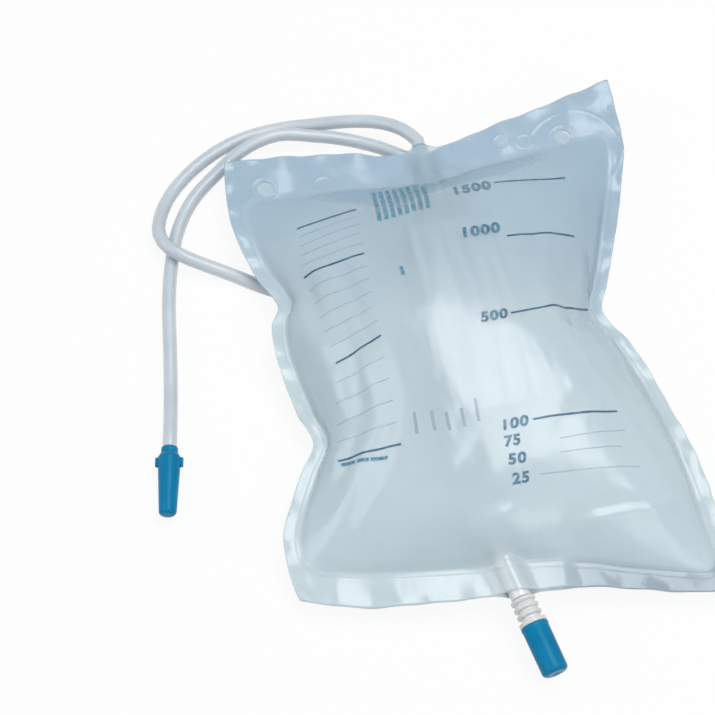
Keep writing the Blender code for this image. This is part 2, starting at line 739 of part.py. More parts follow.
def smooth_route(points, spacing):
    """Evenly spaced points on a Catmull-Rom curve through the given ones, with straight ends."""
    dense = []
    for before, start, end, after in zip(points, points[1:], points[2:], points[3:]):
        for step in range(ROUTE_STEPS):
            u = step / ROUTE_STEPS
            place = 2.0 * start + (end - before) * u
            place += (2.0 * before - 5.0 * start + 4.0 * end - after) * u ** 2
            place += (3.0 * start - before - 3.0 * end + after) * u ** 3
            dense.append(0.5 * place)
    dense.append(points[-2])
    lengths = [0.0]
    for low, high in zip(dense, dense[1:]):
        lengths.append(lengths[-1] + (high - low).length)
    count = round(lengths[-1] / spacing)
    even = []
    index = 0
    for step in range(count + 1):
        target = lengths[-1] * step / count
        while index < len(dense) - 2 and lengths[index + 1] < target:
            index += 1
        share = (target - lengths[index]) / (lengths[index + 1] - lengths[index])
        even.append(dense[index].lerp(dense[index + 1], share))
    return [points[0], *even, points[-1]]


def tube_points(connector_at, connector_axis):
    port_face = Vector((INLET_X, INLET_SEAM_Y + PORT_OUTSIDE + SEAT_GAP, SEAM_HEIGHT))
    socket_face = Vector(connector_at) - Vector(connector_axis) * SEAT_GAP
    lead_out = port_face + Vector((0.0, 0.0045, 0.0))
    lead_in = socket_face - Vector(connector_axis) * 0.009
    route = [Vector(place) / 1000.0 for place in TUBE_ROUTE]
    return smooth_route([port_face, lead_out, *route, lead_in, socket_face], TUBE_POINT_SPACING)


def add_tube(points, look):
    curve = bpy.data.curves.new("inlet_tube", "CURVE")
    curve.dimensions = "3D"
    curve.bevel_depth = TUBE_DIAMETER / 2.0
    curve.bevel_resolution = 2
    curve.use_fill_caps = True
    spline = curve.splines.new("POLY")
    spline.points.add(len(points) - 1)
    for place, point in zip(points, spline.points):
        point.co = (*place, 1.0)
    return add_object("inlet_tube", curve, look)


def build():
    clear_scene()
    passages = (inlet_passage(), outlet_passage())
    clear_film = material("clear_film", (0.62, 0.74, 0.84), 0.18, 0.42)
    milky_film = material("milky_film", (0.72, 0.80, 0.87), 0.30, 0.85)
    sleeve_film = material("sleeve_film", (0.66, 0.77, 0.86), 0.30, 0.45)
    clear_vinyl = material("clear_vinyl", (0.60, 0.68, 0.76), 0.22, 0.75)
    white_nozzle = material("white_nozzle", (0.82, 0.84, 0.85), 0.35)
    blue_plastic = material("blue_plastic", (0.0, 0.21, 0.50), 0.28)

    half_spacing = HANG_HOLE_SPACING / 2.0
    cutters = [
        hang_hole_cutter("hang_hole_left", -half_spacing),
        hang_hole_cutter("hang_hole_right", half_spacing),
    ]
    add_film("front_film", lambda s, t: front_point(s, t, passages), clear_film, cutters)
    add_film("back_film", lambda s, t: back_point(s, t, passages), milky_film, cutters)
    add_sleeve(passages, sleeve_film)

    inlet = axis_empty("inlet_axis", (INLET_X, INLET_SEAM_Y, SEAM_HEIGHT), (0.0, 1.0, 0.0))
    add_turned("inlet_port", port_profile(), clear_vinyl, inlet)

    level = math.cos(OUTLET_PITCH)
    outward = (level * math.sin(OUTLET_YAW), -level * math.cos(OUTLET_YAW), -math.sin(OUTLET_PITCH))
    outlet = axis_empty("outlet_axis", (OUTLET_X, OUTLET_SEAM_Y, SEAM_HEIGHT), outward)
    add_turned("outlet_tube", outlet_tube_profile(), clear_vinyl, outlet)
    add_turned("outlet_nozzle", nozzle_profile(), white_nozzle, outlet)
    add_turned("outlet_cap", outlet_cap_profile(), blue_plastic, outlet)

    connector_axis = (math.sin(CONNECTOR_YAW), -math.cos(CONNECTOR_YAW), 0.0)
    connector_at = (*CONNECTOR_START, CONNECTOR_HEIGHT)
    free_end = axis_empty("connector_axis", connector_at, connector_axis)
    add_turned("catheter_connector", connector_profile(), blue_plastic, free_end)
    add_connector_cap(blue_plastic, free_end)
    add_tube(tube_points(connector_at, connector_axis), clear_vinyl)


build()
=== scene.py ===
import json
import math

import bpy
import numpy as np
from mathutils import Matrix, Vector
from mathutils.bvhtree import BVHTree

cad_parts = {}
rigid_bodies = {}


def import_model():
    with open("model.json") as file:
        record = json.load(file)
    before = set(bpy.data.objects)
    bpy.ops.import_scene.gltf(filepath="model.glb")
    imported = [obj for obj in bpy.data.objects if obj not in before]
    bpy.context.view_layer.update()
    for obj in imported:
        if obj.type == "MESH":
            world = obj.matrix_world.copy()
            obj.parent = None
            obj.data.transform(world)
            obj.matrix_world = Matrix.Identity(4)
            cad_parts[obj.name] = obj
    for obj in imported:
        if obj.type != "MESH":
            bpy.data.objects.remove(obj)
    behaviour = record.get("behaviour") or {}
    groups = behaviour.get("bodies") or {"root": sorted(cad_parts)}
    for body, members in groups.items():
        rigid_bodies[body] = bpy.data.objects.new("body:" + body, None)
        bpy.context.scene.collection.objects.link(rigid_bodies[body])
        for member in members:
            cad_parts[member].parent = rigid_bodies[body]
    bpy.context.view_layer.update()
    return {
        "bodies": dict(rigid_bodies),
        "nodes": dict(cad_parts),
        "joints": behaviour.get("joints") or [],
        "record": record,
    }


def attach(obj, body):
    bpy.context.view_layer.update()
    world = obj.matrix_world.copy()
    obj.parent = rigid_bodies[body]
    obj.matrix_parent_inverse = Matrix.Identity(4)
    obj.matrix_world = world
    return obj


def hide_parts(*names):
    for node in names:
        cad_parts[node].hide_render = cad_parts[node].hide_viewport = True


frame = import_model()
print("frame loaded")


cameraView = {
    "eye": (-0.1546, -0.4644, 0.9365),
    "elevation": 62.0, "azimuth": -11.7,     # degrees above the table, and turned to the left
    "lens": 100.0, "sensor": 36.0,           # millimetres
    "nearest": 0.01, "farthest": 20.0,
}


def addCamera():
    tilt = math.radians(90.0 - cameraView["elevation"])
    turn = math.radians(cameraView["azimuth"])
    bpy.ops.object.camera_add(location=cameraView["eye"], rotation=(tilt, 0.0, turn))
    camera = bpy.context.object
    camera.data.lens = cameraView["lens"]
    camera.data.sensor_width = cameraView["sensor"]
    camera.data.clip_start = cameraView["nearest"]
    camera.data.clip_end = cameraView["farthest"]
    bpy.context.scene.camera = camera


lampList = [
    # name, place, aimed at, width, length, watts
    ("softboxOver", (0.39, 0.165, 1.70), (0.39, 0.165, 0.0), 0.96, 1.57, 20.5),
    ("softboxLeft", (-1.25, 0.10, 1.00), (0.0, 0.0, 0.03), 0.90, 1.20, 6.0),
    ("softboxFront", (0.75, -1.15, 1.05), (0.0, 0.0, 0.03), 0.80, 0.80, 3.5),
]


def addLamps():
    for name, place, aim, width, length, watts in lampList:
        bpy.ops.object.light_add(type="AREA", location=place)
        lamp = bpy.context.object
        lamp.name = name
        lamp.data.shape = "RECTANGLE"
        lamp.data.size = width
        lamp.data.size_y = length
        lamp.data.energy = watts
        lamp.rotation_euler = (Vector(aim) - Vector(place)).to_track_quat("-Z", "Y").to_euler()


stageLook = {
    "worldLight": (0.93, 0.96, 1.0),
    "worldStrength": 0.25,
    "floorColour": (0.90, 0.91, 0.92),
    "floorRoughness": 0.9,
    "floorSize": 8.0,
    "floorDrop": 0.0004,
    "shadowKept": 0.09,
    # painted shade: a bluish shadow painted on the floor under the two hanging holes
    "paintedShadeUnderHoles": {"middle": 0.002, "x": 0.0841, "y": 0.1361, "radius": 0.0065, "fade": 0.003,
                   "colour": (0.50, 0.63, 0.72)},
}


def feed(socket, value):
    # a plain value is set on the socket, another socket is linked to it
    if isinstance(value, bpy.types.NodeSocket):
        socket.id_data.links.new(value, socket)
    else:
        socket.default_value = value


def mathNode(operation, first, second=0.0):
    tree = (first if isinstance(first, bpy.types.NodeSocket) else second).id_data
    step = tree.nodes.new("ShaderNodeMath")
    step.operation = operation
    feed(step.inputs[0], first)
    feed(step.inputs[1], second)
    return step.outputs[0]


def plus(first, second):
    return mathNode("ADD", first, second)


def minus(first, second):
    return mathNode("SUBTRACT", first, second)


def times(first, second):
    return mathNode("MULTIPLY", first, second)


def shareOf(first, second):
    return mathNode("DIVIDE", first, second)


def larger(first, second):
    return mathNode("MAXIMUM", first, second)


def lengthOf(first, second):
    return mathNode("SQRT", plus(times(first, first), times(second, second)))


def rampNode(value, *stops):
    # stops are (place, grey) or (place, colour), in rising order
    ramp = value.id_data.nodes.new("ShaderNodeValToRGB")
    elements = ramp.color_ramp.elements
    while len(elements) < len(stops):
        elements.new(0.5)
    for element, (place, tone) in zip(elements, stops):
        element.position = place
        element.color = (*tone, 1.0) if isinstance(tone, tuple) else (tone, tone, tone, 1.0)
    feed(ramp.inputs[0], value)
    return ramp.outputs[0]


def mixNode(share, first, second):
    # colour blend, where first and second are colours or sockets
    mix = share.id_data.nodes.new("ShaderNodeMix")
    mix.data_type = "RGBA"
    feed(mix.inputs[0], share)
    for socket, value in ((mix.inputs[6], first), (mix.inputs[7], second)):
        feed(socket, (*value, 1.0) if isinstance(value, tuple) else value)
    return mix.outputs[2]


def mixShaders(nodes, share, first, second, output):
    mix = nodes.new("ShaderNodeMixShader")
    for socket, value in zip(mix.inputs, (share, first, second)):
        feed(socket, value)
    feed(nodes[output].inputs["Surface"], mix.outputs[0])


def placeOn(nodes, kind="Object"):
    return nodes.new("ShaderNodeTexCoord").outputs[kind]


def apart(vector):
    # the x, y and z of a place
    parts = vector.id_data.nodes.new("ShaderNodeSeparateXYZ")
    feed(parts.inputs[0], vector)
    return parts.outputs


def mapped(nodes, **values):
    # places on the object, shifted or stretched
    mapping = nodes.new("ShaderNodeMapping")
    feed(mapping.inputs["Vector"], placeOn(nodes))
    for name, value in values.items():
        mapping.inputs[name].default_value = value
    return mapping.outputs[0]


def noise(nodes, scale, detail, stretch=(1.0, 1.0, 1.0)):
    cloud = nodes.new("ShaderNodeTexNoise")
    cloud.inputs["Scale"].default_value = scale
    cloud.inputs["Detail"].default_value = detail
    feed(cloud.inputs["Vector"], mapped(nodes, Scale=stretch))
    return cloud.outputs[0]


def seenByCamera(nodes):
    # 1 for what the camera sees straight, in gloss or through clear plastic
    path = nodes.new("ShaderNodeLightPath").outputs
    return larger(larger(path["Is Camera Ray"], path["Is Glossy Ray"]), path["Is Transmission Ray"])


def addWorld():
    world = bpy.data.worlds.new("studioWhite")
    world.use_nodes = True
    bpy.context.scene.world = world
    nodes = world.node_tree.nodes
    light = nodes["Background"]
    light.inputs["Color"].default_value = (*stageLook["worldLight"], 1.0)
    light.inputs["Strength"].default_value = stageLook["worldStrength"]
    white = nodes.new("ShaderNodeBackground")
    white.inputs["Color"].default_value = (1.0, 1.0, 1.0, 1.0)
    mixShaders(nodes, seenByCamera(nodes), light.outputs[0], white.outputs[0], "World Output")


# painted shade on the floor round each hanging hole, fading out to white
def paintedShadeUnderHoles(nodes):
    spot = stageLook["paintedShadeUnderHoles"]
    x, y, _ = apart(placeOn(nodes))
    offX = minus(mathNode("ABSOLUTE", minus(x, spot["middle"])), spot["x"])
    far = minus(lengthOf(offX, minus(y, spot["y"])), spot["radius"])
    return rampNode(shareOf(far, spot["fade"]), (0.0, spot["colour"]), (1.0, (1.0, 1.0, 1.0)))


def addFloor():
    bpy.ops.mesh.primitive_plane_add(
        size=stageLook["floorSize"], location=(0.0, 0.0, -stageLook["floorDrop"])
    )
    floor = bpy.context.object
    floor.name = "paleFloor"
    paint = bpy.data.materials.new("paleFloor")
    paint.use_nodes = True
    nodes = paint.node_tree.nodes
    shader = nodes["Principled BSDF"]
    shader.inputs["Base Color"].default_value = (*stageLook["floorColour"], 1.0)
    shader.inputs["Roughness"].default_value = stageLook["floorRoughness"]
    shader.inputs["Specular IOR Level"].default_value = 0.0
    white = nodes.new("ShaderNodeEmission")
    # the camera sees the floor white, apart from the painted shade under the holes
    feed(white.inputs["Color"], paintedShadeUnderHoles(nodes))
    share = times(seenByCamera(nodes), 1.0 - stageLook["shadowKept"])
    mixShaders(nodes, share, shader.outputs[0], white.outputs[0], "Material Output")
    floor.data.materials.append(paint)


addCamera()
addLamps()
addWorld()
addFloor()
bpy.context.scene.view_settings.view_transform = "Standard"
print("camera, lamps and floor done")


plasticFinish = {"coatRoughness": 0.10, "cloudDetail": 3.0, "darkBelow": 0.38, "lightAbove": 0.62}


def mottle(made, darkColour, lightColour, scale):
    # soft colour variation over the piece
    nodes = made.node_tree.nodes
    cloud = noise(nodes, scale, plasticFinish["cloudDetail"])
    dark, light = plasticFinish["darkBelow"], plasticFinish["lightAbove"]
    tint = rampNode(cloud, (dark, darkColour), (light, lightColour))
    feed(nodes["Principled BSDF"].inputs["Base Color"], tint)


def grain(made, scale, distance, strength, detail=4.0, stretch=(1.0, 1.0, 1.0),
          under=None):
    # fine relief from noise, over the relief under it
    nodes = made.node_tree.nodes
    relief = nodes.new("ShaderNodeBump")
    relief.inputs["Distance"].default_value = distance
    feed(relief.inputs["Strength"], strength)
    feed(relief.inputs["Height"], noise(nodes, scale, detail, stretch))
    if under:
        feed(relief.inputs["Normal"], under)
    feed(nodes["Principled BSDF"].inputs["Normal"], relief.outputs[0])
    return relief.outputs[0]


def plastic(name, colour, roughness, mottled=None, grained=None,
            alpha=1.0, ior=1.46, coat=0.0, specular=0.5):
    # mottled is (dark colour, light colour, scale), grained is (scale, distance, strength)
    made = bpy.data.materials.new(name)
    made.use_nodes = True
    sockets = made.node_tree.nodes["Principled BSDF"].inputs
    sockets["Base Color"].default_value = (*colour, 1.0)
    sockets["Roughness"].default_value = roughness
    sockets["IOR"].default_value = ior
    sockets["Alpha"].default_value = alpha
    sockets["Specular IOR Level"].default_value = specular
    sockets["Coat Weight"].default_value = coat
    sockets["Coat Roughness"].default_value = plasticFinish["coatRoughness"]
    if mottled:
        mottle(made, *mottled)
    if grained:
        grain(made, *grained)
    return made


film = {
    "topLeft": (-0.105, 0.150), "topRight": (0.1197, 0.1583),
    "bottomLeft": (-0.117, -0.1165), "bottomRight": (0.110, -0.152),
    "sideFlange": 0.010, "topFlange": 0.031,
    "bottomFlange": (0.023, 0.009),          # at its left and its right end
    # share of the way along each edge, and how far it is drawn in there
    "leftPulls": (
        (0.0, 0.0), (0.12, 0.0011), (0.165, 0.0034), (0.267, 0.0167), (0.325, 0.0254),
        (0.391, 0.0202), (0.51, 0.0140), (0.594, 0.0138), (0.639, 0.0189), (0.711, 0.0099),
        (0.786, 0.0035), (0.86, 0.0003), (1.0, 0.0),
    ),
    "rightPulls": (
        (0.0, 0.0), (0.105, 0.0047), (0.213, 0.0078), (0.321, 0.0138), (0.40, 0.0204),
        (0.485, 0.0294), (0.538, 0.0379), (0.587, 0.0317), (0.725, 0.0150), (0.784, 0.0090),
        (0.86, 0.0023), (1.0, 0.0),
    ),
    "topPulls": (
        (0.0, 0.0), (0.112, 0.0051), (0.206, 0.0074), (0.305, 0.0116), (0.404, 0.0179),
        (0.507, 0.0195), (0.57, 0.0182), (0.655, 0.0143), (0.839, 0.0072), (1.0, 0.0),
    ),
    "bottomPulls": (
        (0.0, 0.0), (0.253, 0.0), (0.471, 0.0030), (0.578, 0.0050), (0.667, 0.0055),
        (0.773, 0.0030), (1.0, 0.0),
    ),
    "topPullDecay": 6,
    "cornerInset": 0.002, "curledInset": 0.0045,
    "seamHeight": 0.0165, "rise": 0.044,
    "topLeftLift": 0.003, "topRightLift": 0.006,
    "bottomLeftLift": -0.005, "bottomRightLift": -0.007,
    "sideCurve": 2.3, "endCurve": 2.6,       # how squarely it fills towards the welds
    "topSteepness": 0.72, "gentleFrom": 0.45,
    "restEnd": 0.016, "liftedFrom": 0.042, "lift": 0.0094,
    "wave": 0.0022, "waveLength": 0.043,
    "ripple": 0.0006, "rippleLength": 0.017,
    "wall": 0.00022,
    "weldGap": 0.0006,                       # between the two films' middles in the flange
    "columns": 92, "rows": 122,
    # shares of the grid in the side flanges, and where the chamber's rows start and end
    "flangeColumns": 0.75, "chamberRows": (0.06, 0.90),
}

# folds of the front film, in millimetres: start x and y, end x and y, height,
# half width left of the line, half width right of it
folds = [
    (80, 12, 30, -4, -10, 9, 9),
    (92, -34, 50, -32, -4.5, 8.5, 8.5),
    (88, 50, 56, 24, -4, 8, 8),
    (-86, -29, -48, -24, -6.5, 9, 9),
    (-98, -56, -60, -60, -4, 9, 9),
    (-92, 54, -60, 47, -5, 8.5, 8.5),
    (104, -104, 42, -96, 4, 8, 8),
    (100, 112, 66, 84, 3.5, 9, 9),
    (-94, 110, -62, 82, 3.5, 9, 9),
    (-12, 118, -30, 84, -2, 9, 9),
    (-22, -122, -44, -92, -4.5, 9, 9),
    (22, -128, 34, -96, -4, 9, 9),
    # the long soft ridge that bounds the bright middle on the right
    (44, 30, 48, -22, 3, 7, 30),
    (52, -16, 40, -50, 3, 7, 28),
    (46, -38, 14, -68, 2.2, 7, 22),
    # the ridge left of the sleeve and small side folds
    (-46, 30, -38, -30, 2.2, 20, 6),
    (-94, 30, -66, 30, -2.2, 4.5, 4.5),
    (-94, 16, -62, 12, 1.6, 4.5, 4.5),
    (-90, 2, -62, 0, -2, 4.5, 4.5),
    (-92, -44, -66, -42, 1.8, 4.5, 4.5),
    (88, -16, 58, -16, 2.2, 4.5, 4.5),
    (98, -52, 62, -54, 1.8, 5, 5),
    (102, -74, 70, -74, -1.8, 4.5, 4.5),
    (86, 34, 60, 12, 2.4, 5, 5),
    (104, 78, 80, 66, -1.6, 4.5, 4.5),
    (-70, -116, -76, -92, -1.6, 5, 5),
    (62, -138, 66, -116, -1.6, 5, 5),
    # the sharp fold right of the outlet, that turns up to the right weld, and a soft one under it
    (36, -107, 82, -106.5, 3.8, 3.6, 12),
    (68, -108, 96, -95, 3.4, 3.6, 11),
    (91, -99, 99, -78, 3, 3.6, 10),
    (56, -120, 94, -117, 2.6, 5, 8),
    # long soft folds that run down from the right shoulder
    (82, 96, 74, 40, 2.2, 4, 8),
    (60, 60, 66, 12, -2, 6, 6),
]

passages = {
    # x, y, yaw, pitch, radius, reach inside, half width kept open beside it
    "inlet": (0.005, 0.131, 0.0, 0.0, 0.00475, 0.034, 0.014),
    "outlet": (-0.0045, -0.127, math.radians(169.5), math.radians(3.0), 0.0053, 0.024, 0.0),
}

parting = {
    # how the films part round a passage: widths in its radii, the rest in metres
    "nearWidth": 4.2, "openWidth": 2.4, "overTube": 0.0012,
    "fadeIn": (0.012, 0.004),
    # and beside the inlet, over the sleeve's end
    "slot": 0.0017, "slotFade": (0.001, 0.009), "slotEnd": (0.014, 0.009),
}


def smoothStep(low, high, value):
    share = np.clip((value - low) / (high - low), 0.0, 1.0)
    return share * share * (3.0 - 2.0 * share)


def hump(distance, width):
    near = np.clip(np.abs(distance) / width, 0.0, 1.0)
    return 0.5 + 0.5 * np.cos(np.pi * near)


def blendTo(first, second, share):
    return first + (second - first) * share


def pullAt(pulls, share):
    # smooth curve through the (share, pull) points of one edge
    places = np.array([place for place, pull in pulls])
    values = np.array([pull for place, pull in pulls])
    last = len(pulls) - 1
    before = np.maximum(np.arange(last + 1) - 1, 0)
    after = np.minimum(np.arange(last + 1) + 1, last)
    slopes = (values[after] - values[before]) / (places[after] - places[before])
    share = np.asarray(share, float)
    index = np.clip(np.searchsorted(places, share, side="left") - 1, 0, last - 1)
    run = places[index + 1] - places[index]
    u = np.clip((share - places[index]) / run, 0.0, 1.0)
    leadIn = (u ** 3 - 2.0 * u * u + u) * run * slopes[index]
    leadOut = (u ** 3 - u * u) * run * slopes[index + 1]
    return blendTo(values[index], values[index + 1], smoothStep(0.0, 1.0, u)) + leadIn + leadOut


corners = {name: film[name] for name in ("topLeft", "topRight", "bottomLeft", "bottomRight")}
topWidth = corners["topRight"][0] - corners["topLeft"][0]
bottomWidth = corners["bottomRight"][0] - corners["bottomLeft"][0]
leftLength = corners["topLeft"][1] - corners["bottomLeft"][1]
rightLength = corners["topRight"][1] - corners["bottomRight"][1]
halfWidth = (topWidth + bottomWidth) / 4.0
halfLength = (leftLength + rightLength) / 4.0
weldSide = 1.0 - film["sideFlange"] / halfWidth
weldHigh = 1.0 - film["topFlange"] / halfLength


def weldLow(s):
    return -1.0 + blendTo(*film["bottomFlange"], (1.0 + s) / 2.0) / halfLength


def outline(s, t, pull=1.0):
    # place in plan of a film point, s across and t along, both from -1 to 1
    across = (1.0 + s) / 2.0
    along = (1.0 + t) / 2.0
    x, y = (
        blendTo(blendTo(corners["bottomLeft"][i], corners["bottomRight"][i], across),
                blendTo(corners["topLeft"][i], corners["topRight"][i], across), along)
        for i in (0, 1)
    )
    x = x + pull * pullAt(film["leftPulls"], along) * (1.0 - across)
    x = x - pull * pullAt(film["rightPulls"], along) * across
    y = y - pullAt(film["topPulls"], across) * along ** film["topPullDecay"]
    y = y + pullAt(film["bottomPulls"], across) * (1.0 - along)
    curled = (np.maximum(0.0, -s) * np.maximum(0.0, -t)) ** 5
    inset = film["cornerInset"] * np.abs(s * t) ** 8 + film["curledInset"] * curled
    return x - np.copysign(inset, s), y - np.copysign(inset, t)


def chamber(s, t):
    low = weldLow(s)
    return s / weldSide, (2.0 * t - low - weldHigh) / (weldHigh - low)


def fullness(s, t):
    u, v = chamber(s, t)
    # gentler towards the top weld
    steep = blendTo(film["topSteepness"], 1.0, smoothStep(film["gentleFrom"], 1.0, v))
    u = np.clip(np.abs(u), 0.0, 1.0)
    v = np.clip(np.abs(v), 0.0, 1.0)
    return ((1.0 - u ** film["sideCurve"]) * (1.0 - v ** film["endCurve"])) ** steep


def flangeShare(s, t):
    # 0 in the chamber, 1 at the film's outer edge
    u, v = chamber(s, t)
    edgeU = 1.0 / weldSide
    edgeV = np.abs(chamber(s, np.copysign(1.0, t))[1])
    outside = np.maximum((np.abs(u) - 1.0) / (edgeU - 1.0), (np.abs(v) - 1.0) / (edgeV - 1.0))
    return np.clip(outside, 0.0, 1.0)


def seamHeight(s, t, x, y):
    left, right = np.maximum(0.0, -s) ** 2, np.maximum(0.0, s) ** 2
    bottom, top = np.maximum(0.0, -t) ** 2, np.maximum(0.0, t) ** 2
    flange = flangeShare(s, t)
    height = film["seamHeight"]
    for name, share in (("topLeftLift", left * top), ("topRightLift", right * top),
                        ("bottomLeftLift", left * bottom), ("bottomRightLift", right * bottom)):
        height = height + film[name] * share
    turn = 2.0 * math.pi / film["waveLength"]
    wave = np.sin(turn * x) * np.cos(0.6 * turn * y + 0.8)
    height = height + film["wave"] * wave * flange * np.abs(s)
    # small puckers where the weld has shrunk
    turn = 2.0 * math.pi / film["rippleLength"]
    bySides = np.sin(turn * y + 40.0 * x) * np.abs(s) ** 8
    byEnds = np.sin(0.83 * turn * x + 30.0 * y) * np.abs(t) ** 8
    return height + film["ripple"] * (bySides + byEnds) * flange


def passageShares(place, x, y):
    # how far out along the axis a point is, how near, and how far the films open there
    axisX, axisY, yaw, pitch, radius, inner, beside = place
    along = (x - axisX) * math.sin(yaw) + (y - axisY) * math.cos(yaw)
    across = (x - axisX) * math.cos(yaw) - (y - axisY) * math.sin(yaw)
    first, last = parting["fadeIn"]
    reach = smoothStep(-inner - first, -inner - last, along)
    near = hump(across, parting["nearWidth"] * radius) * reach
    opening = (radius + parting["overTube"]) * hump(across, parting["openWidth"] * radius) * reach
    if beside:
        first, last = parting["slotFade"]
        side = 1.0 - smoothStep(beside + first, beside + last, np.abs(across))
        first, last = parting["slotEnd"]
        below = 1.0 - smoothStep(-first, -last, along)
        opening = np.maximum(opening, parting["slot"] * side * below)
        near = np.maximum(near, side * reach)
    return along, near, opening, -math.tan(pitch)


def foldHeight(x, y):
    total = 0.0
    for fold in folds:
        startX, startY, endX, endY, height, leftWidth, rightWidth = (size / 1000.0 for size in fold)
        runX, runY = endX - startX, endY - startY
        length = math.hypot(runX, runY)
        along = ((x - startX) * runX + (y - startY) * runY) / length
        across = ((x - startX) * runY - (y - startY) * runX) / length
        width = np.where(across > 0.0, rightWidth, leftWidth)
        risen = smoothStep(-0.35 * length, 0.15 * length, along)
        fallen = smoothStep(0.45 * length, length, along)
        total = total + height * risen * (1.0 - fallen) * np.exp(-((across / width) ** 2))
    return total


def restHeight(y):
    return film["lift"] * smoothStep(film["restEnd"], film["liftedFrom"], y)


def frontShape(s, t, pull=1.0, swell=1.0):
    x, y = outline(s, t, pull)
    seam = seamHeight(s, t, x, y)
    full = fullness(s, t)
    creased = foldHeight(x, y) * smoothStep(0.0, 0.45, full) * pull
    rise = film["rise"] * swell * full + creased
    for place in passages.values():
        along, near, opening, slope = passageShares(place, x, y)
        axis = film["seamHeight"] + slope * along
        seam = blendTo(seam, axis, near * (1.0 - full))
        rise = np.maximum(rise, opening)
    return np.stack([x, y, seam + rise + film["weldGap"] / 2.0], axis=-1)


def backShape(s, t, pull=1.0):
    x, y = outline(s, t, pull)
    seam = seamHeight(s, t, x, y)
    full = np.minimum(1.0, 1.55 * fullness(s, t))
    full = np.where(full > 0.5, full * full * (3.0 - 2.0 * full), full)
    rest = restHeight(y) + film["wall"] / 2.0
    height = blendTo(seam - film["weldGap"] / 2.0, rest, full)
    for place in passages.values():
        along, near, opening, slope = passageShares(place, x, y)
        axis = film["seamHeight"] + slope * along - film["weldGap"] / 2.0
        height = blendTo(height, axis, near * (1.0 - np.minimum(1.0, 2.0 * full)))
        height = np.where(opening > 0.0, np.minimum(height, axis - opening), height)
    return np.stack([x, y, np.maximum(height, rest)], axis=-1)


def filmPlaces(columnShare, rowShare):
    # s and t of grid points: lines lie closer in the flanges, and one on each weld
    side = (1.0 - weldSide) * film["flangeColumns"]
    s = np.interp(columnShare, (0.0, side, 1.0 - side, 1.0), (-1.0, -weldSide, weldSide, 1.0))
    low = weldLow(s)
    first, last = film["chamberRows"]
    below = -1.0 + (low + 1.0) * rowShare / first
    inside = low + (weldHigh - low) * (rowShare - first) / (last - first)
    above = weldHigh + (1.0 - weldHigh) * (rowShare - last) / (1.0 - last)
    return s, np.where(rowShare < first, below, np.where(rowShare < last, inside, above))


def coordsOf(piece):
    flat = np.empty(len(piece.data.vertices) * 3, np.float32)
    piece.data.vertices.foreach_get("co", flat)
    return flat.reshape(-1, 3).astype(float)


def placeCoords(piece, coords):
    piece.data.vertices.foreach_set("co", np.asarray(coords, np.float32).ravel())
    piece.data.update()


def pickNone():
    bpy.ops.object.select_all(action="DESELECT")


def pickAll(*pieces):
    pickNone()
    for piece in pieces:
        piece.select_set(True)
    bpy.context.view_layer.objects.active = pieces[0]


def smoothBelow(degrees):
    bpy.ops.object.shade_smooth_by_angle(angle=math.radians(degrees))


def addGrid(across, along, size):
    pickNone()
    bpy.ops.mesh.primitive_grid_add(x_subdivisions=across, y_subdivisions=along, size=size)
    return bpy.context.object


def editAll(*steps):
    # edit-mode operators, each on the whole of the picked piece
    bpy.ops.object.mode_set(mode="EDIT")
    for step in steps:
        bpy.ops.mesh.select_all(action="SELECT")
        step()
    bpy.ops.object.mode_set(mode="OBJECT")


def mergeNear(distance):
    return lambda: bpy.ops.mesh.remove_doubles(threshold=distance)


def faceOut():
    bpy.ops.mesh.normals_make_consistent(inside=False)


def finishWith(piece, kind, **values):
    # one modifier, set and applied
    pickAll(piece)
    made = piece.modifiers.new(kind.lower(), kind)
    for name, value in values.items():
        setattr(made, name, value)
    bpy.ops.object.modifier_apply(modifier=made.name)


def giveLook(piece, look):
    piece.data.materials.clear()
    piece.data.materials.append(look)


def standIn(piece, node, body="bag"):
    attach(piece, body)
    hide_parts(node)


def addSheet(name):
    sheet = addGrid(film["columns"], film["rows"], 2.0)
    sheet.name = name
    flat = coordsOf(sheet)
    s, t = filmPlaces((flat[:, 0] + 1.0) / 2.0, (flat[:, 1] + 1.0) / 2.0)
    loopPoints = np.empty(len(sheet.data.loops), np.int32)
    sheet.data.loops.foreach_get("vertex_index", loopPoints)
    unwrapped = np.stack([(s[loopPoints] + 1.0) / 2.0, (t[loopPoints] + 1.0) / 2.0], axis=-1)
    sheet.data.uv_layers.active.data.foreach_set("uv", unwrapped.astype(np.float32).ravel())
    return sheet, s, t


inflating = {
    "frames": 22, "settling": 8,             # in all, and after the edges are drawn in
    "startPull": 0.55, "startSwell": 0.88,
    # share of the extra film near the left weld and near the bottom weld, and where it lies
    "leftShare": 0.45, "endShare": 0.45,
    "sideBand": (0.35, 0.95), "endBand": (0.45, 0.95),
    # what is held: the welds, what lies near a passage, and a little of the rest
    "holdBelow": (0.02, 0.10), "holdNear": (0.05, 0.6), "holdMiddle": 0.12,
    "cloth": {
        "quality": 5, "mass": 0.0006, "pin_stiffness": 1.0, "air_damping": 1.0,
        "tension_stiffness": 12.0, "compression_stiffness": 12.0,
        "shear_stiffness": 4.0, "bending_stiffness": 0.015,
        "use_pressure": True, "uniform_pressure_force": 6.0,
        "shrink_min": -0.004, "shrink_max": -0.050,      # extra film: in the middle, by the welds
    },
    "smoothing": 3,
    "cap": 0.009,
    # how much of it is kept by the welds and on the bag's top part, which lies smooth
    "weldFade": 0.16, "topFade": (0.30, 0.62), "topShare": 0.15,
}


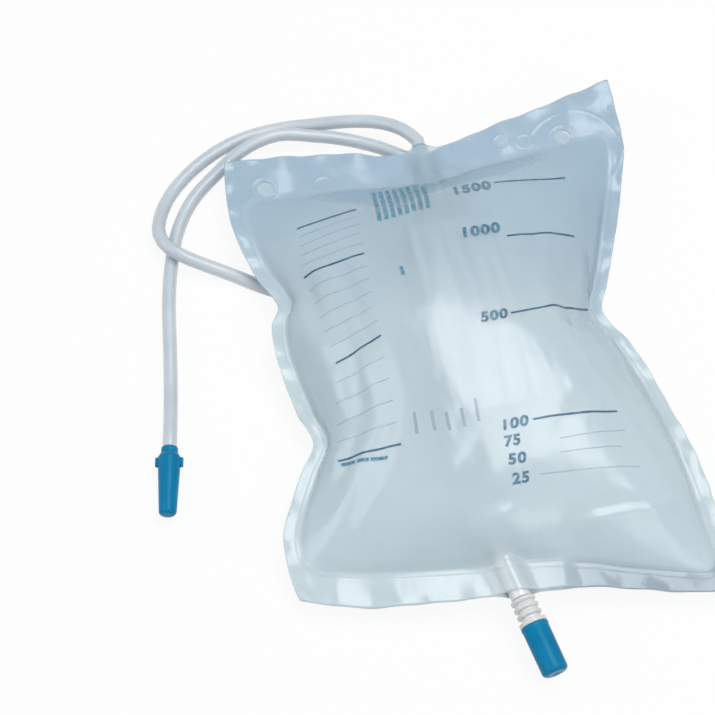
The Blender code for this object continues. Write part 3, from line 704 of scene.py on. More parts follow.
def drawIn(pillow, s, t):
    # the films start slack, and their welded edges are drawn in over the first frames
    target = np.concatenate([frontShape(s, t), backShape(s, t)])
    pull = inflating["startPull"]
    slack = (frontShape(s, t, pull, inflating["startSwell"]), backShape(s, t, pull))
    placeCoords(pillow, np.concatenate(slack))
    pillow.shape_key_add(name="loose")
    drawn = pillow.shape_key_add(name="drawnIn")
    drawn.data.foreach_set("co", target.astype(np.float32).ravel())
    for value, frame in ((0.0, 1), (1.0, inflating["frames"] - inflating["settling"])):
        drawn.value = value
        drawn.keyframe_insert("value", frame=frame)
    return target


def weighFilm(pillow, s, t):
    # which points are held to the drawn shape, and which have film to spare
    hold = np.where(flangeShare(s, t) > 0.0, 1.0, 0.0)
    hold = np.maximum(hold, 1.0 - smoothStep(*inflating["holdBelow"], fullness(s, t)))
    for place in passages.values():
        near = passageShares(place, *outline(s, t))[1]
        hold = np.maximum(hold, smoothStep(*inflating["holdNear"], near))
    hold = np.maximum(hold, inflating["holdMiddle"])
    u, v = chamber(s, t)
    sideShare = blendTo(inflating["leftShare"], 1.0, smoothStep(-0.5, 0.5, u))
    growing = sideShare * smoothStep(*inflating["sideBand"], np.abs(u))
    growing = np.maximum(growing, inflating["endShare"] * smoothStep(*inflating["endBand"], -v))
    for name, weights in (("held", hold), ("grown", growing)):
        group = pillow.vertex_groups.new(name=name)
        for index in range(2 * len(s)):
            group.add([index], float(weights[index % len(s)]), "REPLACE")


def smoothField(moved):
    for _ in range(inflating["smoothing"]):
        field = moved.reshape(2, film["rows"] + 1, film["columns"] + 1, 3)
        field[:, 1:-1] = (field[:, :-2] + 2.0 * field[:, 1:-1] + field[:, 2:]) / 4.0
        field[:, :, 1:-1] = (field[:, :, :-2] + 2.0 * field[:, :, 1:-1] + field[:, :, 2:]) / 4.0
        moved = field.reshape(-1, 3)
    return moved


def inflate(front, back, s, t):
    # both films are joined, the welded edge is held and drawn in, and air fills the chamber
    pickAll(front, back)
    bpy.ops.object.duplicate()
    bpy.ops.object.join()
    pillow = bpy.context.object
    pillow.name = "pillow"
    target = drawIn(pillow, s, t)
    weighFilm(pillow, s, t)

    cloth = pillow.modifiers.new("air", "CLOTH")
    for name, value in inflating["cloth"].items():
        setattr(cloth.settings, name, value)
    cloth.settings.vertex_group_mass = "held"
    cloth.settings.vertex_group_shrink = "grown"
    cloth.settings.effector_weights.gravity = 0.0
    cloth.collision_settings.use_collision = False
    cloth.point_cache.frame_start = 1
    cloth.point_cache.frame_end = inflating["frames"]
    for step in range(1, inflating["frames"] + 1):
        bpy.context.scene.frame_set(step)
    solved = pillow.evaluated_get(bpy.context.evaluated_depsgraph_get())
    blown = np.array([vertex.co[:] for vertex in solved.data.vertices])
    moved = smoothField(blown - target)
    topPart = smoothStep(*inflating["topFade"], chamber(s, t)[1])
    share = smoothStep(0.0, inflating["weldFade"], fullness(s, t))
    share = share * blendTo(1.0, inflating["topShare"], topPart)
    moved = moved * np.tile(share, 2)[:, None]
    far = np.linalg.norm(moved, axis=1)
    most, mean = (round(float(size) * 1000.0, 2) for size in (far.max(), far.mean()))
    print("films moved by up to", most, "mm, mean", mean)
    capped = inflating["cap"] * np.tanh(far / inflating["cap"])
    blown = target + moved * (capped / np.maximum(far, 1e-9))[:, None]
    bpy.context.scene.frame_set(1)
    bpy.data.objects.remove(pillow, do_unlink=True)
    frontCoords, backCoords = blown[:len(s)], blown[len(s):]
    frontCoords[:, 2] = np.maximum(frontCoords[:, 2], backCoords[:, 2] + film["weldGap"])
    return frontCoords, backCoords


filmColours = {
    # linear colours, a darker and a lighter tone each
    # the upper tones are darker and bluer than the lower ones: partly painted light, brighter
    # towards the bottom
    "upper": ((0.430, 0.595, 0.715), (0.525, 0.690, 0.800)),
    "lower": ((0.670, 0.795, 0.860), (0.760, 0.870, 0.915)),
    "flangeUpper": (0.510, 0.670, 0.785), "flangeLower": (0.740, 0.845, 0.890),
    # the flange right of the outlet, and where it lies across and down the bag
    "flangeCorner": (0.450, 0.560, 0.640),
    "cornerAcross": ((0.05, 0.0), (0.35, 1.0)), "cornerDown": ((0.86, 0.0), (0.93, 1.0)),
    "weldLinesAndSheen": (0.72, 0.82, 0.87),
    "lowerBelow": 0.42, "upperAbove": 0.74,  # along the bag, from 0 to 1
    "lean": -0.16,                           # how much further up it lies on the left
    "mottle": (0.32, 0.68),
}

weldLook = {
    # the sealing bar's marks: distance out from the inner weld line, in metres
    "from": -0.002, "to": 0.008,
    "cornerRadius": 0.011,
    # along that distance, from 0 to 1: the flange's share, the paler lines (partly the seal's own
    # tone, partly painted highlight on the beads), the raised beads
    "flange": ((0.05, 0.0), (0.30, 1.0)),
    "lines": ((0.18, 0.0), (0.21, 0.20), (0.25, 0.06), (0.52, 0.03), (0.56, 0.16), (0.60, 0.0)),
    "beads": ((0.15, 0.0), (0.20, 1.0), (0.25, 0.2), (0.52, 0.2), (0.56, 0.9), (0.61, 0.0)),
    "relief": 0.00030, "strength": 0.7,
    # x, y and radius of the round seals in the top edge
    "rings": ((-0.084, 0.1265, 0.0075), (0.084, 0.1265, 0.0075), (-0.052, 0.1235, 0.0050),
              (0.050, 0.1305, 0.0045), (0.063, 0.1285, 0.0045)),
    "ringWidth": 0.0014,
    "arc": (0.088, 0.116, 0.0260),           # the curved seal round the right hanging hole
    "arcWidth": 0.0016,
}

crumples = {
    # scale, distance, strength, detail and stretch of each layer of relief
    "wide": (26.0, 0.0022, 0.36, 2.0, (1.0, 0.7, 1.0)),
    "small": (85.0, 0.0005, 0.25, 1.0, (1.0, 0.7, 1.0)),
    # the last layer grows towards the welds, over this distance, and follows its own strength
    "byWeld": (58.0, 0.0030), "byWeldDetail": 2.0, "byWeldStretch": (1.0, 0.5, 1.0),
    "growOver": 0.045,
    "alongBag": ((0.30, 0.5), (0.50, 0.08), (0.77, 0.08), (0.80, 0.6)),
}


def filmPlace(nodes):
    # s and t on the film, from its own unwrapped place
    across, along, _ = apart(placeOn(nodes, "UV"))
    return minus(times(across, 2.0), 1.0), minus(times(along, 2.0), 1.0)


def weldDistance(s, t):
    # metres outside the chamber's weld line, with its corners rounded
    radius = weldLook["cornerRadius"]
    side = times(minus(mathNode("ABSOLUTE", s), weldSide), halfWidth)
    top = times(minus(t, weldHigh), halfLength)
    middle = (weldLow(-1.0) + weldLow(1.0)) / 2.0
    slope = (weldLow(1.0) - weldLow(-1.0)) / 2.0
    bottom = times(minus(plus(times(s, slope), middle), t), halfLength)
    sideOut = larger(plus(side, radius), 0.0)
    endOut = larger(plus(larger(top, bottom), radius), 0.0)
    return minus(lengthOf(sideOut, endOut), radius)


def ringHeight(nodes, atX, atY, radius, width):
    # a raised ring round a place in plan
    length = nodes.new("ShaderNodeVectorMath")
    length.operation = "LENGTH"
    feed(length.inputs[0], mapped(nodes, Location=(-atX, -atY, 0.0), Scale=(1.0, 1.0, 0.0)))
    off = mathNode("ABSOLUTE", minus(length.outputs["Value"], radius))
    return larger(minus(1.0, shareOf(off, width)), 0.0)


def filmTint(nodes, s, t, scaled, mottleScale):
    # bluer and darker at the top, paler at the bottom, partly as painted light that is brighter on
    # the lower half, with its flanges and weld lines
    # share along the bag for the painted light, paler below, on the body and the flanges
    lean = times(minus(1.0, s), filmColours["lean"] / 2.0)
    height = rampNode(plus(times(plus(t, 1.0), 0.5), lean),
                      (filmColours["lowerBelow"], 0.0), (filmColours["upperAbove"], 1.0))
    cloud = noise(nodes, mottleScale, plasticFinish["cloudDetail"])
    low, high = filmColours["mottle"]
    body = mixNode(height, *(
        rampNode(cloud, (low, dark), (high, light))
        for dark, light in (filmColours["lower"], filmColours["upper"])
    ))
    flange = mixNode(height, filmColours["flangeLower"], filmColours["flangeUpper"])
    corner = times(rampNode(s, *filmColours["cornerAcross"]),
                   rampNode(times(t, -1.0), *filmColours["cornerDown"]))
    flange = mixNode(corner, flange, filmColours["flangeCorner"])
    tint = mixNode(rampNode(scaled, *weldLook["flange"]), body, flange)
    # the paler weld lines: partly the seal's own tone, partly painted highlight along its beads
    return mixNode(rampNode(scaled, *weldLook["lines"]), tint, filmColours["weldLinesAndSheen"])


def sealRelief(nodes, outside, scaled):
    # the weld's beads, the round seals of the top edge and the curved one
    raised = rampNode(scaled, *weldLook["beads"])
    for ring in weldLook["rings"]:
        raised = larger(raised, ringHeight(nodes, *ring, weldLook["ringWidth"]))
    arc = ringHeight(nodes, *weldLook["arc"], weldLook["arcWidth"])
    raised = larger(raised, times(arc, mathNode("GREATER_THAN", outside, 0.0)))
    relief = nodes.new("ShaderNodeBump")
    relief.inputs["Distance"].default_value = weldLook["relief"]
    relief.inputs["Strength"].default_value = weldLook["strength"]
    feed(relief.inputs["Height"], raised)
    return relief.outputs[0]


def filmLook(made, mottleScale):
    nodes = made.node_tree.nodes
    s, t = filmPlace(nodes)
    outside = weldDistance(s, t)
    scaled = shareOf(minus(outside, weldLook["from"]), weldLook["to"] - weldLook["from"])
    tint = filmTint(nodes, s, t, scaled, mottleScale)
    feed(nodes["Principled BSDF"].inputs["Base Color"], tint)
    relief = sealRelief(nodes, outside, scaled)
    for layer in ("wide", "small"):
        relief = grain(made, *crumples[layer], relief)
    # sharper small crumples towards the welds
    over = crumples["growOver"]
    near = rampNode(shareOf(plus(outside, over), over), (0.0, 0.0), (1.0, 1.0))
    strength = times(near, rampNode(t, *crumples["alongBag"]))
    grain(made, *crumples["byWeld"], strength, crumples["byWeldDetail"],
          crumples["byWeldStretch"], relief)


clearFilm = plastic("clearFilm", (0.55, 0.68, 0.78), 0.18,
                    alpha=0.42, ior=1.50, coat=0.5, specular=0.7)
filmLook(clearFilm, 9.0)
milkyFilm = plastic("milkyFilm", (0.50, 0.63, 0.74), 0.30, ior=1.50)
filmLook(milkyFilm, 7.0)


def finishFilm(sheet, coords, look):
    placeCoords(sheet, coords)
    finishWith(sheet, "SUBSURF", levels=1, render_levels=1)
    finishWith(sheet, "SOLIDIFY", thickness=film["wall"], offset=0.0)
    giveLook(sheet, look)


hangingHoles = {"x": 0.084, "y": 0.1265, "radius": 0.0045, "depth": 0.05, "sides": 40}


def punchHoles(sheet):
    for side in (-1.0, 1.0):
        pickNone()
        bpy.ops.mesh.primitive_cylinder_add(
            vertices=hangingHoles["sides"], radius=hangingHoles["radius"],
            depth=hangingHoles["depth"],
            location=(side * hangingHoles["x"], hangingHoles["y"], film["seamHeight"]),
        )
        punch = bpy.context.object
        finishWith(sheet, "BOOLEAN", operation="DIFFERENCE", solver="MANIFOLD", object=punch)
        bpy.data.objects.remove(punch, do_unlink=True)
    pickAll(sheet)
    bpy.ops.object.shade_smooth()


frontFilm, sheetS, sheetT = addSheet("frontFilm")
backFilm, _, _ = addSheet("backFilm")
pickAll(backFilm)
editAll(bpy.ops.mesh.flip_normals)
frontCoords, backCoords = inflate(frontFilm, backFilm, sheetS, sheetT)

backRest = restHeight(backCoords[:, 1]) + film["wall"] / 2.0
backCoords[:, 2] = np.maximum(backCoords[:, 2], backRest)
for sheet, coords, look, node, slotName in (
    (frontFilm, frontCoords, clearFilm, "front_film", "clear_film"),
    (backFilm, backCoords, milkyFilm, "back_film", "milky_film"),
):
    finishFilm(sheet, coords, look)
    punchHoles(sheet)
    standIn(sheet, node)
print("films done")

bpy.context.view_layer.update()
filmSurface = BVHTree.FromObject(frontFilm, bpy.context.evaluated_depsgraph_get())


def onFilm(x, y, lift):
    # place on top of the front film under a plan place, lifted along the film's normal
    above, down = Vector((x, y, 0.2)), Vector((0.0, 0.0, -1.0))
    hit, normal, _, _ = filmSurface.ray_cast(above, down)
    if hit is None:
        return Vector((x, y, film["seamHeight"]))
    return hit + normal * lift


sleeve = {
    "x": 0.005, "topY": 0.116, "length": 0.162,
    "topWidth": 0.028, "width": 0.046, "widens": 0.35,
    "wall": 0.0002, "opening": 0.0014, "under": 0.0034, "lookRound": 0.005,
    "portEnd": 0.097, "portRadius": 0.00475, "freedOver": (0.030, 0.004),
    "portRoom": 0.0005, "portSpread": 2.2,   # clearance over the port, and how far it spreads
    "pleat": 0.0003, "pleatTurn": 900.0,
    "round": 48, "rows": 84,
}
streaks = {
    # tones at its free end and at the inlet, from the darker film to the paler streaks
    "dark": ((0.35, (0.66, 0.78, 0.86)), (0.78, (0.37, 0.52, 0.64))),
    "light": ((0.35, (0.97, 0.98, 0.99)), (0.78, (0.62, 0.75, 0.83))),
    "scale": 230.0, "detail": 2.0, "stretch": (1.0, 0.07, 0.0),
    "edges": ((0.44, 0.0), (0.58, 1.0)),
    "alongScale": 5.0, "alongShift": 0.5,    # from metres along the bag to the tones' places
}
sleeveFilm = plastic("sleeveFilm", (0.80, 0.88, 0.93), 0.24, alpha=0.85)


def sleeveLook():
    # long pale streaks, paler towards its free end
    nodes = sleeveFilm.node_tree.nodes
    y = apart(placeOn(nodes))[1]
    height = plus(times(y, streaks["alongScale"]), streaks["alongShift"])
    cloud = noise(nodes, streaks["scale"], streaks["detail"], streaks["stretch"])
    tones = [rampNode(height, *streaks[tone]) for tone in ("dark", "light")]
    tint = mixNode(rampNode(cloud, *streaks["edges"]), *tones)
    feed(nodes["Principled BSDF"].inputs["Base Color"], tint)


sleeveLook()
grain(sleeveFilm, 70.0, 0.0008, 0.4, 3.0, (1.0, 0.25, 1.0))


def sleevePoint(roundPlace, alongPlace):
    share = (1.0 - alongPlace) / 2.0
    angle = math.pi * (roundPlace + 1.0)
    y = sleeve["topY"] - sleeve["length"] * share
    wider = float(smoothStep(0.0, sleeve["widens"], share))
    across = math.cos(angle) * blendTo(sleeve["topWidth"], sleeve["width"], wider) / 2.0
    x = sleeve["x"] + across
    first, last = sleeve["freedOver"]
    freed = 1.0 - float(smoothStep(sleeve["portEnd"] - first, sleeve["portEnd"] - last, y))
    step = sleeve["lookRound"]
    around = ((0.0, 0.0), (step, 0.0), (-step, 0.0), (0.0, step), (0.0, -step))
    heights = [onFilm(x + aside, y + ahead, 0.0).z for aside, ahead in around]
    under = min(heights[0], sum(heights) / len(heights)) - sleeve["under"]
    centre = blendTo(film["seamHeight"], under, freed)
    overPort = float(hump(across, sleeve["portSpread"] * sleeve["portRadius"])) * (1.0 - freed)
    roundPort = (sleeve["portRadius"] + sleeve["portRoom"]) * overPort
    # soft pleats along the freed part
    pleat = sleeve["pleat"] * math.sin(across * sleeve["pleatTurn"]) * freed
    opening = max(sleeve["opening"] / 2.0, roundPort)
    return x, y, centre + math.sin(angle) * opening + pleat


def addSleeve():
    # a flattened film tube: a grid wrapped round, closed along its seam, then given its wall
    made = addGrid(sleeve["round"], sleeve["rows"], 2.0)
    made.name = "flutterSleeve"
    placeCoords(made, [sleevePoint(place[0], place[1]) for place in coordsOf(made)])
    pickAll(made)
    editAll(mergeNear(0.00001), faceOut)
    finishWith(made, "SOLIDIFY", thickness=sleeve["wall"], offset=-1.0)
    bpy.ops.object.shade_smooth()
    giveLook(made, sleeveFilm)
    return made


standIn(addSleeve(), "flutter_sleeve")
print("flutter sleeve done")


tube = {
    "diameter": 0.0075,
    "bore": 0.0054,
    "length": 0.9,
    "spacing": 0.006, "curveSteps": 24, "roundSteps": 6,
    "exit": (0.005, 0.1373, 0.0165),
    "leadOut": (0.005, 0.1418, 0.0165),
    "end": (-0.160244, -0.012705, 0.0076),
    "leadIn": (-0.158557, -0.003865, 0.0076),
    # the line between them, in millimetres
    "route": (
        (-2, 152, 15.5), (-13, 160.5, 13), (-28, 166.5, 10), (-46, 171, 6), (-70, 173.5, 4.1),
        (-94, 170, 3.9), (-116.5, 159, 3.9), (-135, 142, 4.6), (-144.5, 122, 8.6),
        (-144, 108, 11.7), (-135.5, 98, 11.4), (-123, 91.5, 7), (-111, 85, 4.2), (-91, 71, 3.9),
        (-66, 59, 3.9), (-36, 52, 3.9), (0, 48, 3.9), (35, 49, 3.9), (66, 57, 3.9),
        (84, 76, 3.9), (82, 99, 3.9), (63, 114, 3.9), (42, 120, 3.9), (20, 127.5, 3.9),
        (1, 138.5, 3.9), (-15, 150, 3.9), (-32, 158.6, 4.3), (-50, 162.6, 7.6), (-70, 165.7, 10),
        (-90, 161.5, 8), (-108, 150.5, 4.3), (-124, 136, 3.9), (-135, 118, 3.9), (-142, 97, 3.9),
        (-147, 74, 3.9), (-151, 45, 3.9), (-155, 18, 4.2),
    ),
}
tubeVinyl = plastic("tubeVinyl", (0.62, 0.70, 0.78), 0.24,
                    ((0.63, 0.72, 0.80), (0.76, 0.82, 0.87), 22.0), (160.0, 0.0002, 0.3),
                    alpha=0.70, ior=1.50, coat=0.4)


def smoothRoute(points, spacing):
    # an even Catmull-Rom line through the points, with its two end pieces straight
    points = [Vector(point) for point in points]
    dense = []
    for before, start, end, after in zip(points, points[1:], points[2:], points[3:]):
        for step in range(tube["curveSteps"]):
            u = step / tube["curveSteps"]
            place = 2.0 * start + (end - before) * u
            place += (2.0 * before - 5.0 * start + 4.0 * end - after) * u ** 2
            place += (3.0 * start - before - 3.0 * end + after) * u ** 3
            dense.append(0.5 * place)
    dense.append(points[-2])
    lengths = np.concatenate([[0.0], np.cumsum([(b - a).length for a, b in zip(dense, dense[1:])])])
    wanted = np.linspace(0.0, lengths[-1], round(lengths[-1] / spacing) + 1)
    table = np.array([point[:] for point in dense])
    even = [np.interp(wanted, lengths, table[:, axis]) for axis in range(3)]
    return [points[0], *(Vector(place) for place in zip(*even)), points[-1]]


def addTube():
    inner = [tuple(value / 1000.0 for value in place) for place in tube["route"]]
    points = [tube["exit"], tube["leadOut"], *inner, tube["leadIn"], tube["end"]]
    points = smoothRoute(points, tube["spacing"])
    line = bpy.data.curves.new("inletTube", "CURVE")
    line.dimensions = "3D"
    line.bevel_depth = tube["diameter"] / 2.0
    line.bevel_resolution = tube["roundSteps"]
    spline = line.splines.new("POLY")
    spline.points.add(len(points) - 1)
    for place, point in zip(points, spline.points):
        point.co = (*place, 1.0)
    hose = bpy.data.objects.new("inletTube", line)
    bpy.context.collection.objects.link(hose)
    pickAll(hose)
    bpy.ops.object.convert(target="MESH")
    hose = bpy.context.object
    finishWith(hose, "SOLIDIFY", thickness=(tube["diameter"] - tube["bore"]) / 2.0, offset=-1.0)
    smoothBelow(40.0)
    giveLook(hose, tubeVinyl)
    return hose, points


inletTube, tubeLine = addTube()
standIn(inletTube, "inlet_tube")
tubeLength = sum((after - before).length for before, after in zip(tubeLine, tubeLine[1:]))
print("inlet tube done, length", round(tubeLength, 3))


turning = {"start": 0.001, "merge": 0.000002, "steps": 64, "smoothBelow": 32.0}


def turnTo(piece, place, direction):
    # from along Z to along its own axis, with its place in its mesh
    piece.rotation_euler = Vector(direction).to_track_quat("Z", "Y").to_euler()
    piece.location = place
    bpy.ops.object.transform_apply(location=True, rotation=True, scale=True)


def addTurned(name, profile, place, direction, look):
    # a closed profile of (radius, height) points, turned round Z and then laid along its axis
    pickNone()
    bpy.ops.mesh.primitive_plane_add(size=turning["start"], location=(0.0, 0.0, 0.0))
    piece = bpy.context.object
    piece.name = name
    bpy.ops.object.mode_set(mode="EDIT")
    bpy.ops.mesh.select_all(action="SELECT")
    bpy.ops.mesh.merge(type="CENTER")
    bpy.ops.transform.translate(value=(profile[0][0], 0.0, profile[0][1]))
    closed = list(profile) + ([profile[0]] if profile[0][0] > 0.0 else [])
    for (radius, height), (nextRadius, nextHeight) in zip(closed, closed[1:]):
        bpy.ops.mesh.extrude_region_move(
            TRANSFORM_OT_translate={"value": (nextRadius - radius, 0.0, nextHeight - height)}
        )
    editAll(
        mergeNear(turning["merge"]),
        lambda: bpy.ops.mesh.spin(steps=turning["steps"], angle=math.tau,
                                  center=(0.0, 0.0, 0.0), axis=(0.0, 0.0, 1.0)),
        mergeNear(turning["merge"]),
        faceOut,
    )
    turnTo(piece, place, direction)
    smoothBelow(turning["smoothBelow"])
    giveLook(piece, look)
    return piece


def roundedEdge(radius, height, rounding, firstAngle, lastAngle, count=6):
    # points of a rounded edge about (radius, height)
    angles = [math.radians(blendTo(firstAngle, lastAngle, i / (count - 1))) for i in range(count)]
    return [(radius + rounding * math.cos(a), height + rounding * math.sin(a)) for a in angles]


inletPort = {
    "place": (0.005, 0.131, 0.0165), "aim": (0.0, 1.0, 0.0),
    "radius": 0.00475, "bore": 0.0026, "inside": 0.034, "outside": 0.006, "rounding": 0.0008,
}
portVinyl = plastic("portVinyl", (0.62, 0.74, 0.82), 0.24,
                    ((0.58, 0.70, 0.79), (0.68, 0.79, 0.86), 40.0), (200.0, 0.0002, 0.3),
                    alpha=0.40, ior=1.48, coat=0.2)


def pipeProfile(radius, bore, low, high, rounding):
    # a length of pipe with rounded outer edges
    return [
        (bore, low), *roundedEdge(radius - rounding, low + rounding, rounding, -90.0, 0.0),
        *roundedEdge(radius - rounding, high - rounding, rounding, 0.0, 90.0), (bore, high),
    ]


def addInletPort():
    profile = pipeProfile(inletPort["radius"], inletPort["bore"], -inletPort["inside"],
                          inletPort["outside"], inletPort["rounding"])
    return addTurned("inletPort", profile, inletPort["place"], inletPort["aim"], portVinyl)


outlet = {
    "place": (-0.0045, -0.127, 0.0165),
    "yaw": math.radians(10.5), "pitch": math.radians(3.0),
    "tubeRadius": 0.0053, "tubeBore": 0.0037, "tubeInside": 0.024, "tubeOutside": 0.0065,
    "tubeRounding": 0.0005,
    "stubLength": 0.009, "bore": 0.0018, "bodyRadius": 0.0049,
    "ribRadius": 0.0065, "ribWidth": 0.0024, "ribCount": 3, "ribNeck": 0.6, "ribLength": 0.0122,
    "collarWidth": 0.0022, "spigotRadius": 0.0046, "spigotLength": 0.016,
    "capRadius": 0.0071, "capTipRadius": 0.0067, "capLength": 0.026, "capCavity": 0.018,
    "capRounding": 0.0022, "edge": 0.0004, "seat": 0.0003,
}
outletAim = (math.cos(outlet["pitch"]) * math.sin(outlet["yaw"]),
             -math.cos(outlet["pitch"]) * math.cos(outlet["yaw"]), -math.sin(outlet["pitch"]))
outletVinyl = plastic("outletVinyl", (0.86, 0.89, 0.91), 0.13,
                      ((0.93, 0.95, 0.96), (1.0, 1.0, 1.0), 40.0), alpha=0.80, ior=1.50, coat=0.9)
whiteNozzle = plastic("whiteNozzle", (0.80, 0.81, 0.80), 0.34,
                      ((0.79, 0.80, 0.79), (0.88, 0.88, 0.86), 60.0), (400.0, 0.00006, 0.5),
                      alpha=0.92, coat=0.2)
bluePlastic = plastic("bluePlastic", (0.0, 0.20, 0.40), 0.30,
                      ((0.0, 0.180, 0.37), (0.0, 0.235, 0.45), 45.0), (500.0, 0.00005, 0.5),
                      specular=0.16)


def addOutletTube():
    profile = pipeProfile(outlet["tubeRadius"], outlet["tubeBore"], -outlet["tubeInside"],
                          outlet["tubeOutside"], outlet["tubeRounding"])
    return addTurned("outletTube", profile, outlet["place"], outletAim, outletVinyl)


def addNozzle():
    # stub in the tube, rounded grip ribs, collar, and the spigot that the cap sits on
    stub, bore, edge = outlet["tubeBore"] - outlet["seat"], outlet["bore"], outlet["edge"]
    start = outlet["tubeOutside"] + outlet["seat"]
    low = start - outlet["stubLength"]
    body, half = outlet["bodyRadius"], outlet["ribWidth"] / 2.0
    spaces = outlet["ribCount"] - 1 + outlet["ribNeck"]
    pitch = (outlet["ribLength"] - outlet["ribWidth"]) / spaces
    profile = [(bore, low), (stub - edge, low), (stub, low + edge), (stub, start), (body, start)]
    for index in range(outlet["ribCount"]):
        middle = start + index * pitch + half
        profile += roundedEdge(outlet["ribRadius"] - half, middle, half, -90.0, 90.0, 9)
        profile += [(body, middle + half + 0.0002)]
    gripEnd = start + outlet["ribLength"]
    collarEnd = gripEnd + outlet["collarWidth"]
    tip = collarEnd + outlet["spigotLength"]
    collar, spigot = outlet["capRadius"] - edge, outlet["spigotRadius"]
    profile += [(body, gripEnd)]
    profile += roundedEdge(collar, gripEnd + edge, edge, -90.0, 0.0, 4)
    profile += roundedEdge(collar, collarEnd - edge, edge, 0.0, 90.0, 4)
    profile += [(spigot, collarEnd), (spigot, tip - 0.0005), (spigot - 0.0005, tip), (bore, tip)]
    return addTurned("outletNozzle", profile, outlet["place"], outletAim, whiteNozzle)


def addOutletCap():
    hole, edge = outlet["spigotRadius"] + outlet["seat"], outlet["edge"]
    grip = outlet["ribLength"] + outlet["collarWidth"]
    mouth = outlet["tubeOutside"] + grip + 2.0 * outlet["seat"]
    end, depth = mouth + outlet["capLength"], mouth + outlet["capCavity"]
    side, tip, rounding = outlet["capRadius"], outlet["capTipRadius"], outlet["capRounding"]
    profile = [(0.0, depth), (hole, depth), (hole, mouth + 0.0006), (hole + 0.0006, mouth)]
    profile += roundedEdge(side - edge, mouth + edge, edge, -90.0, 0.0, 4)
    # a low bead round the mouth, then the long grip
    profile += [(side, mouth + 0.0014), (side - 0.00025, mouth + 0.0018)]
    profile += roundedEdge(tip - rounding, end - rounding, rounding, 0.0, 90.0, 8)
    profile += [(0.0022, end), (0.0014, end - 0.0003), (0.0, end - 0.0003)]
    return addTurned("outletCap", profile, outlet["place"], outletAim, bluePlastic)


connector = {
    "place": (-0.1603, -0.0130, 0.0076), "yaw": math.radians(-10.8),
    "bore": 0.0017, "socketRadius": 0.0044, "socketLength": 0.0035,
    "coneRadius": 0.0036, "coneTip": 0.0025, "coneLength": 0.026, "steps": 3, "stepHeight": 0.0003,
    "capMouth": 0.0051, "capShoulder": 0.0018, "capBody": 0.0060, "capTip": 0.0046,
    "capLength": 0.034, "capTipWall": 0.004, "capRounding": 0.0022,
    "lugSpan": 0.0146, "lugThickness": 0.0024, "lugLength": 0.0052, "lugRounding": 0.0007,
    "seat": 0.0003,
}
connectorAim = (math.sin(connector["yaw"]), -math.cos(connector["yaw"]), 0.0)


def addConnector():
    bore, socket, length = connector["bore"], connector["socketRadius"], connector["socketLength"]
    cone = connector["coneLength"]
    profile = [(bore, 0.0), *roundedEdge(socket - 0.0004, 0.0004, 0.0004, -90.0, 0.0, 4)]
    profile.append((socket, length))
    for step in range(connector["steps"]):
        for share, proud in ((step, 0.0), (step + 1, connector["stepHeight"] / 2.0)):
            share = share / connector["steps"]
            radius = blendTo(connector["coneRadius"], connector["coneTip"], share) + proud
            profile.append((radius, length + cone * share))
    profile.append((bore, length + cone))
    return addTurned("catheterConnector", profile, connector["place"], connectorAim, bluePlastic)


def addLug(side):
    # a finger lug beside the cap's mouth, with its outer edges rounded
    inside = (connector["capBody"] + connector["capMouth"]) / 2.0 - 0.0003
    outside = connector["lugSpan"] / 2.0
    start = connector["socketLength"] + connector["seat"] + connector["capShoulder"]
    middle = (side * (inside + outside) / 2.0, 0.0, start + connector["lugLength"] / 2.0)
    pickNone()
    bpy.ops.mesh.primitive_cube_add(size=1.0, location=middle)
    lug = bpy.context.object
    lug.scale = (outside - inside, connector["lugThickness"], connector["lugLength"])
    bpy.ops.object.transform_apply(location=True, rotation=True, scale=True)
    finishWith(lug, "BEVEL", width=connector["lugRounding"], segments=4)
    turnTo(lug, connector["place"], connectorAim)
    return lug


def addConnectorCap():
    mouth = connector["socketLength"] + connector["seat"]
    clear = connector["seat"] + connector["stepHeight"]
    wide, narrow = connector["coneRadius"] + clear, connector["coneTip"] + clear
    end = mouth + connector["capLength"]
    depth = end - connector["capTipWall"]
    body, tip, rounding = connector["capBody"], connector["capTip"], connector["capRounding"]
    profile = [(0.0, depth), (narrow, depth), (wide, mouth)]
    profile += roundedEdge(connector["capMouth"] - 0.0003, mouth + 0.0003, 0.0003, -90.0, -30.0, 3)
    shoulder = mouth + connector["capShoulder"] + 0.0004
    profile += roundedEdge(body - 0.0008, shoulder, 0.0008, -40.0, 0.0, 4)
    profile += roundedEdge(tip - rounding, end - rounding, rounding, 0.0, 90.0, 8)
    profile += [(0.0, end)]
    cap = addTurned("connectorCap", profile, connector["place"], connectorAim, bluePlastic)
    for side in (-1.0, 1.0):
        lug = addLug(side)
        finishWith(cap, "BOOLEAN", operation="UNION", object=lug)
        bpy.data.objects.remove(lug, do_unlink=True)
    smoothBelow(turning["smoothBelow"])
    giveLook(cap, bluePlastic)
    return cap


standIn(addInletPort(), "inlet_port")
standIn(addOutletTube(), "outlet_tube")
standIn(addNozzle(), "outlet_nozzle")
standIn(addOutletCap(), "outlet_cap", "drain_cap")
connectorPiece = addConnector()
connectorCapPiece = addConnectorCap()
standIn(connectorPiece, "catheter_connector")
standIn(connectorCapPiece, "connector_cap", "catheter_cap")

print("fittings done")


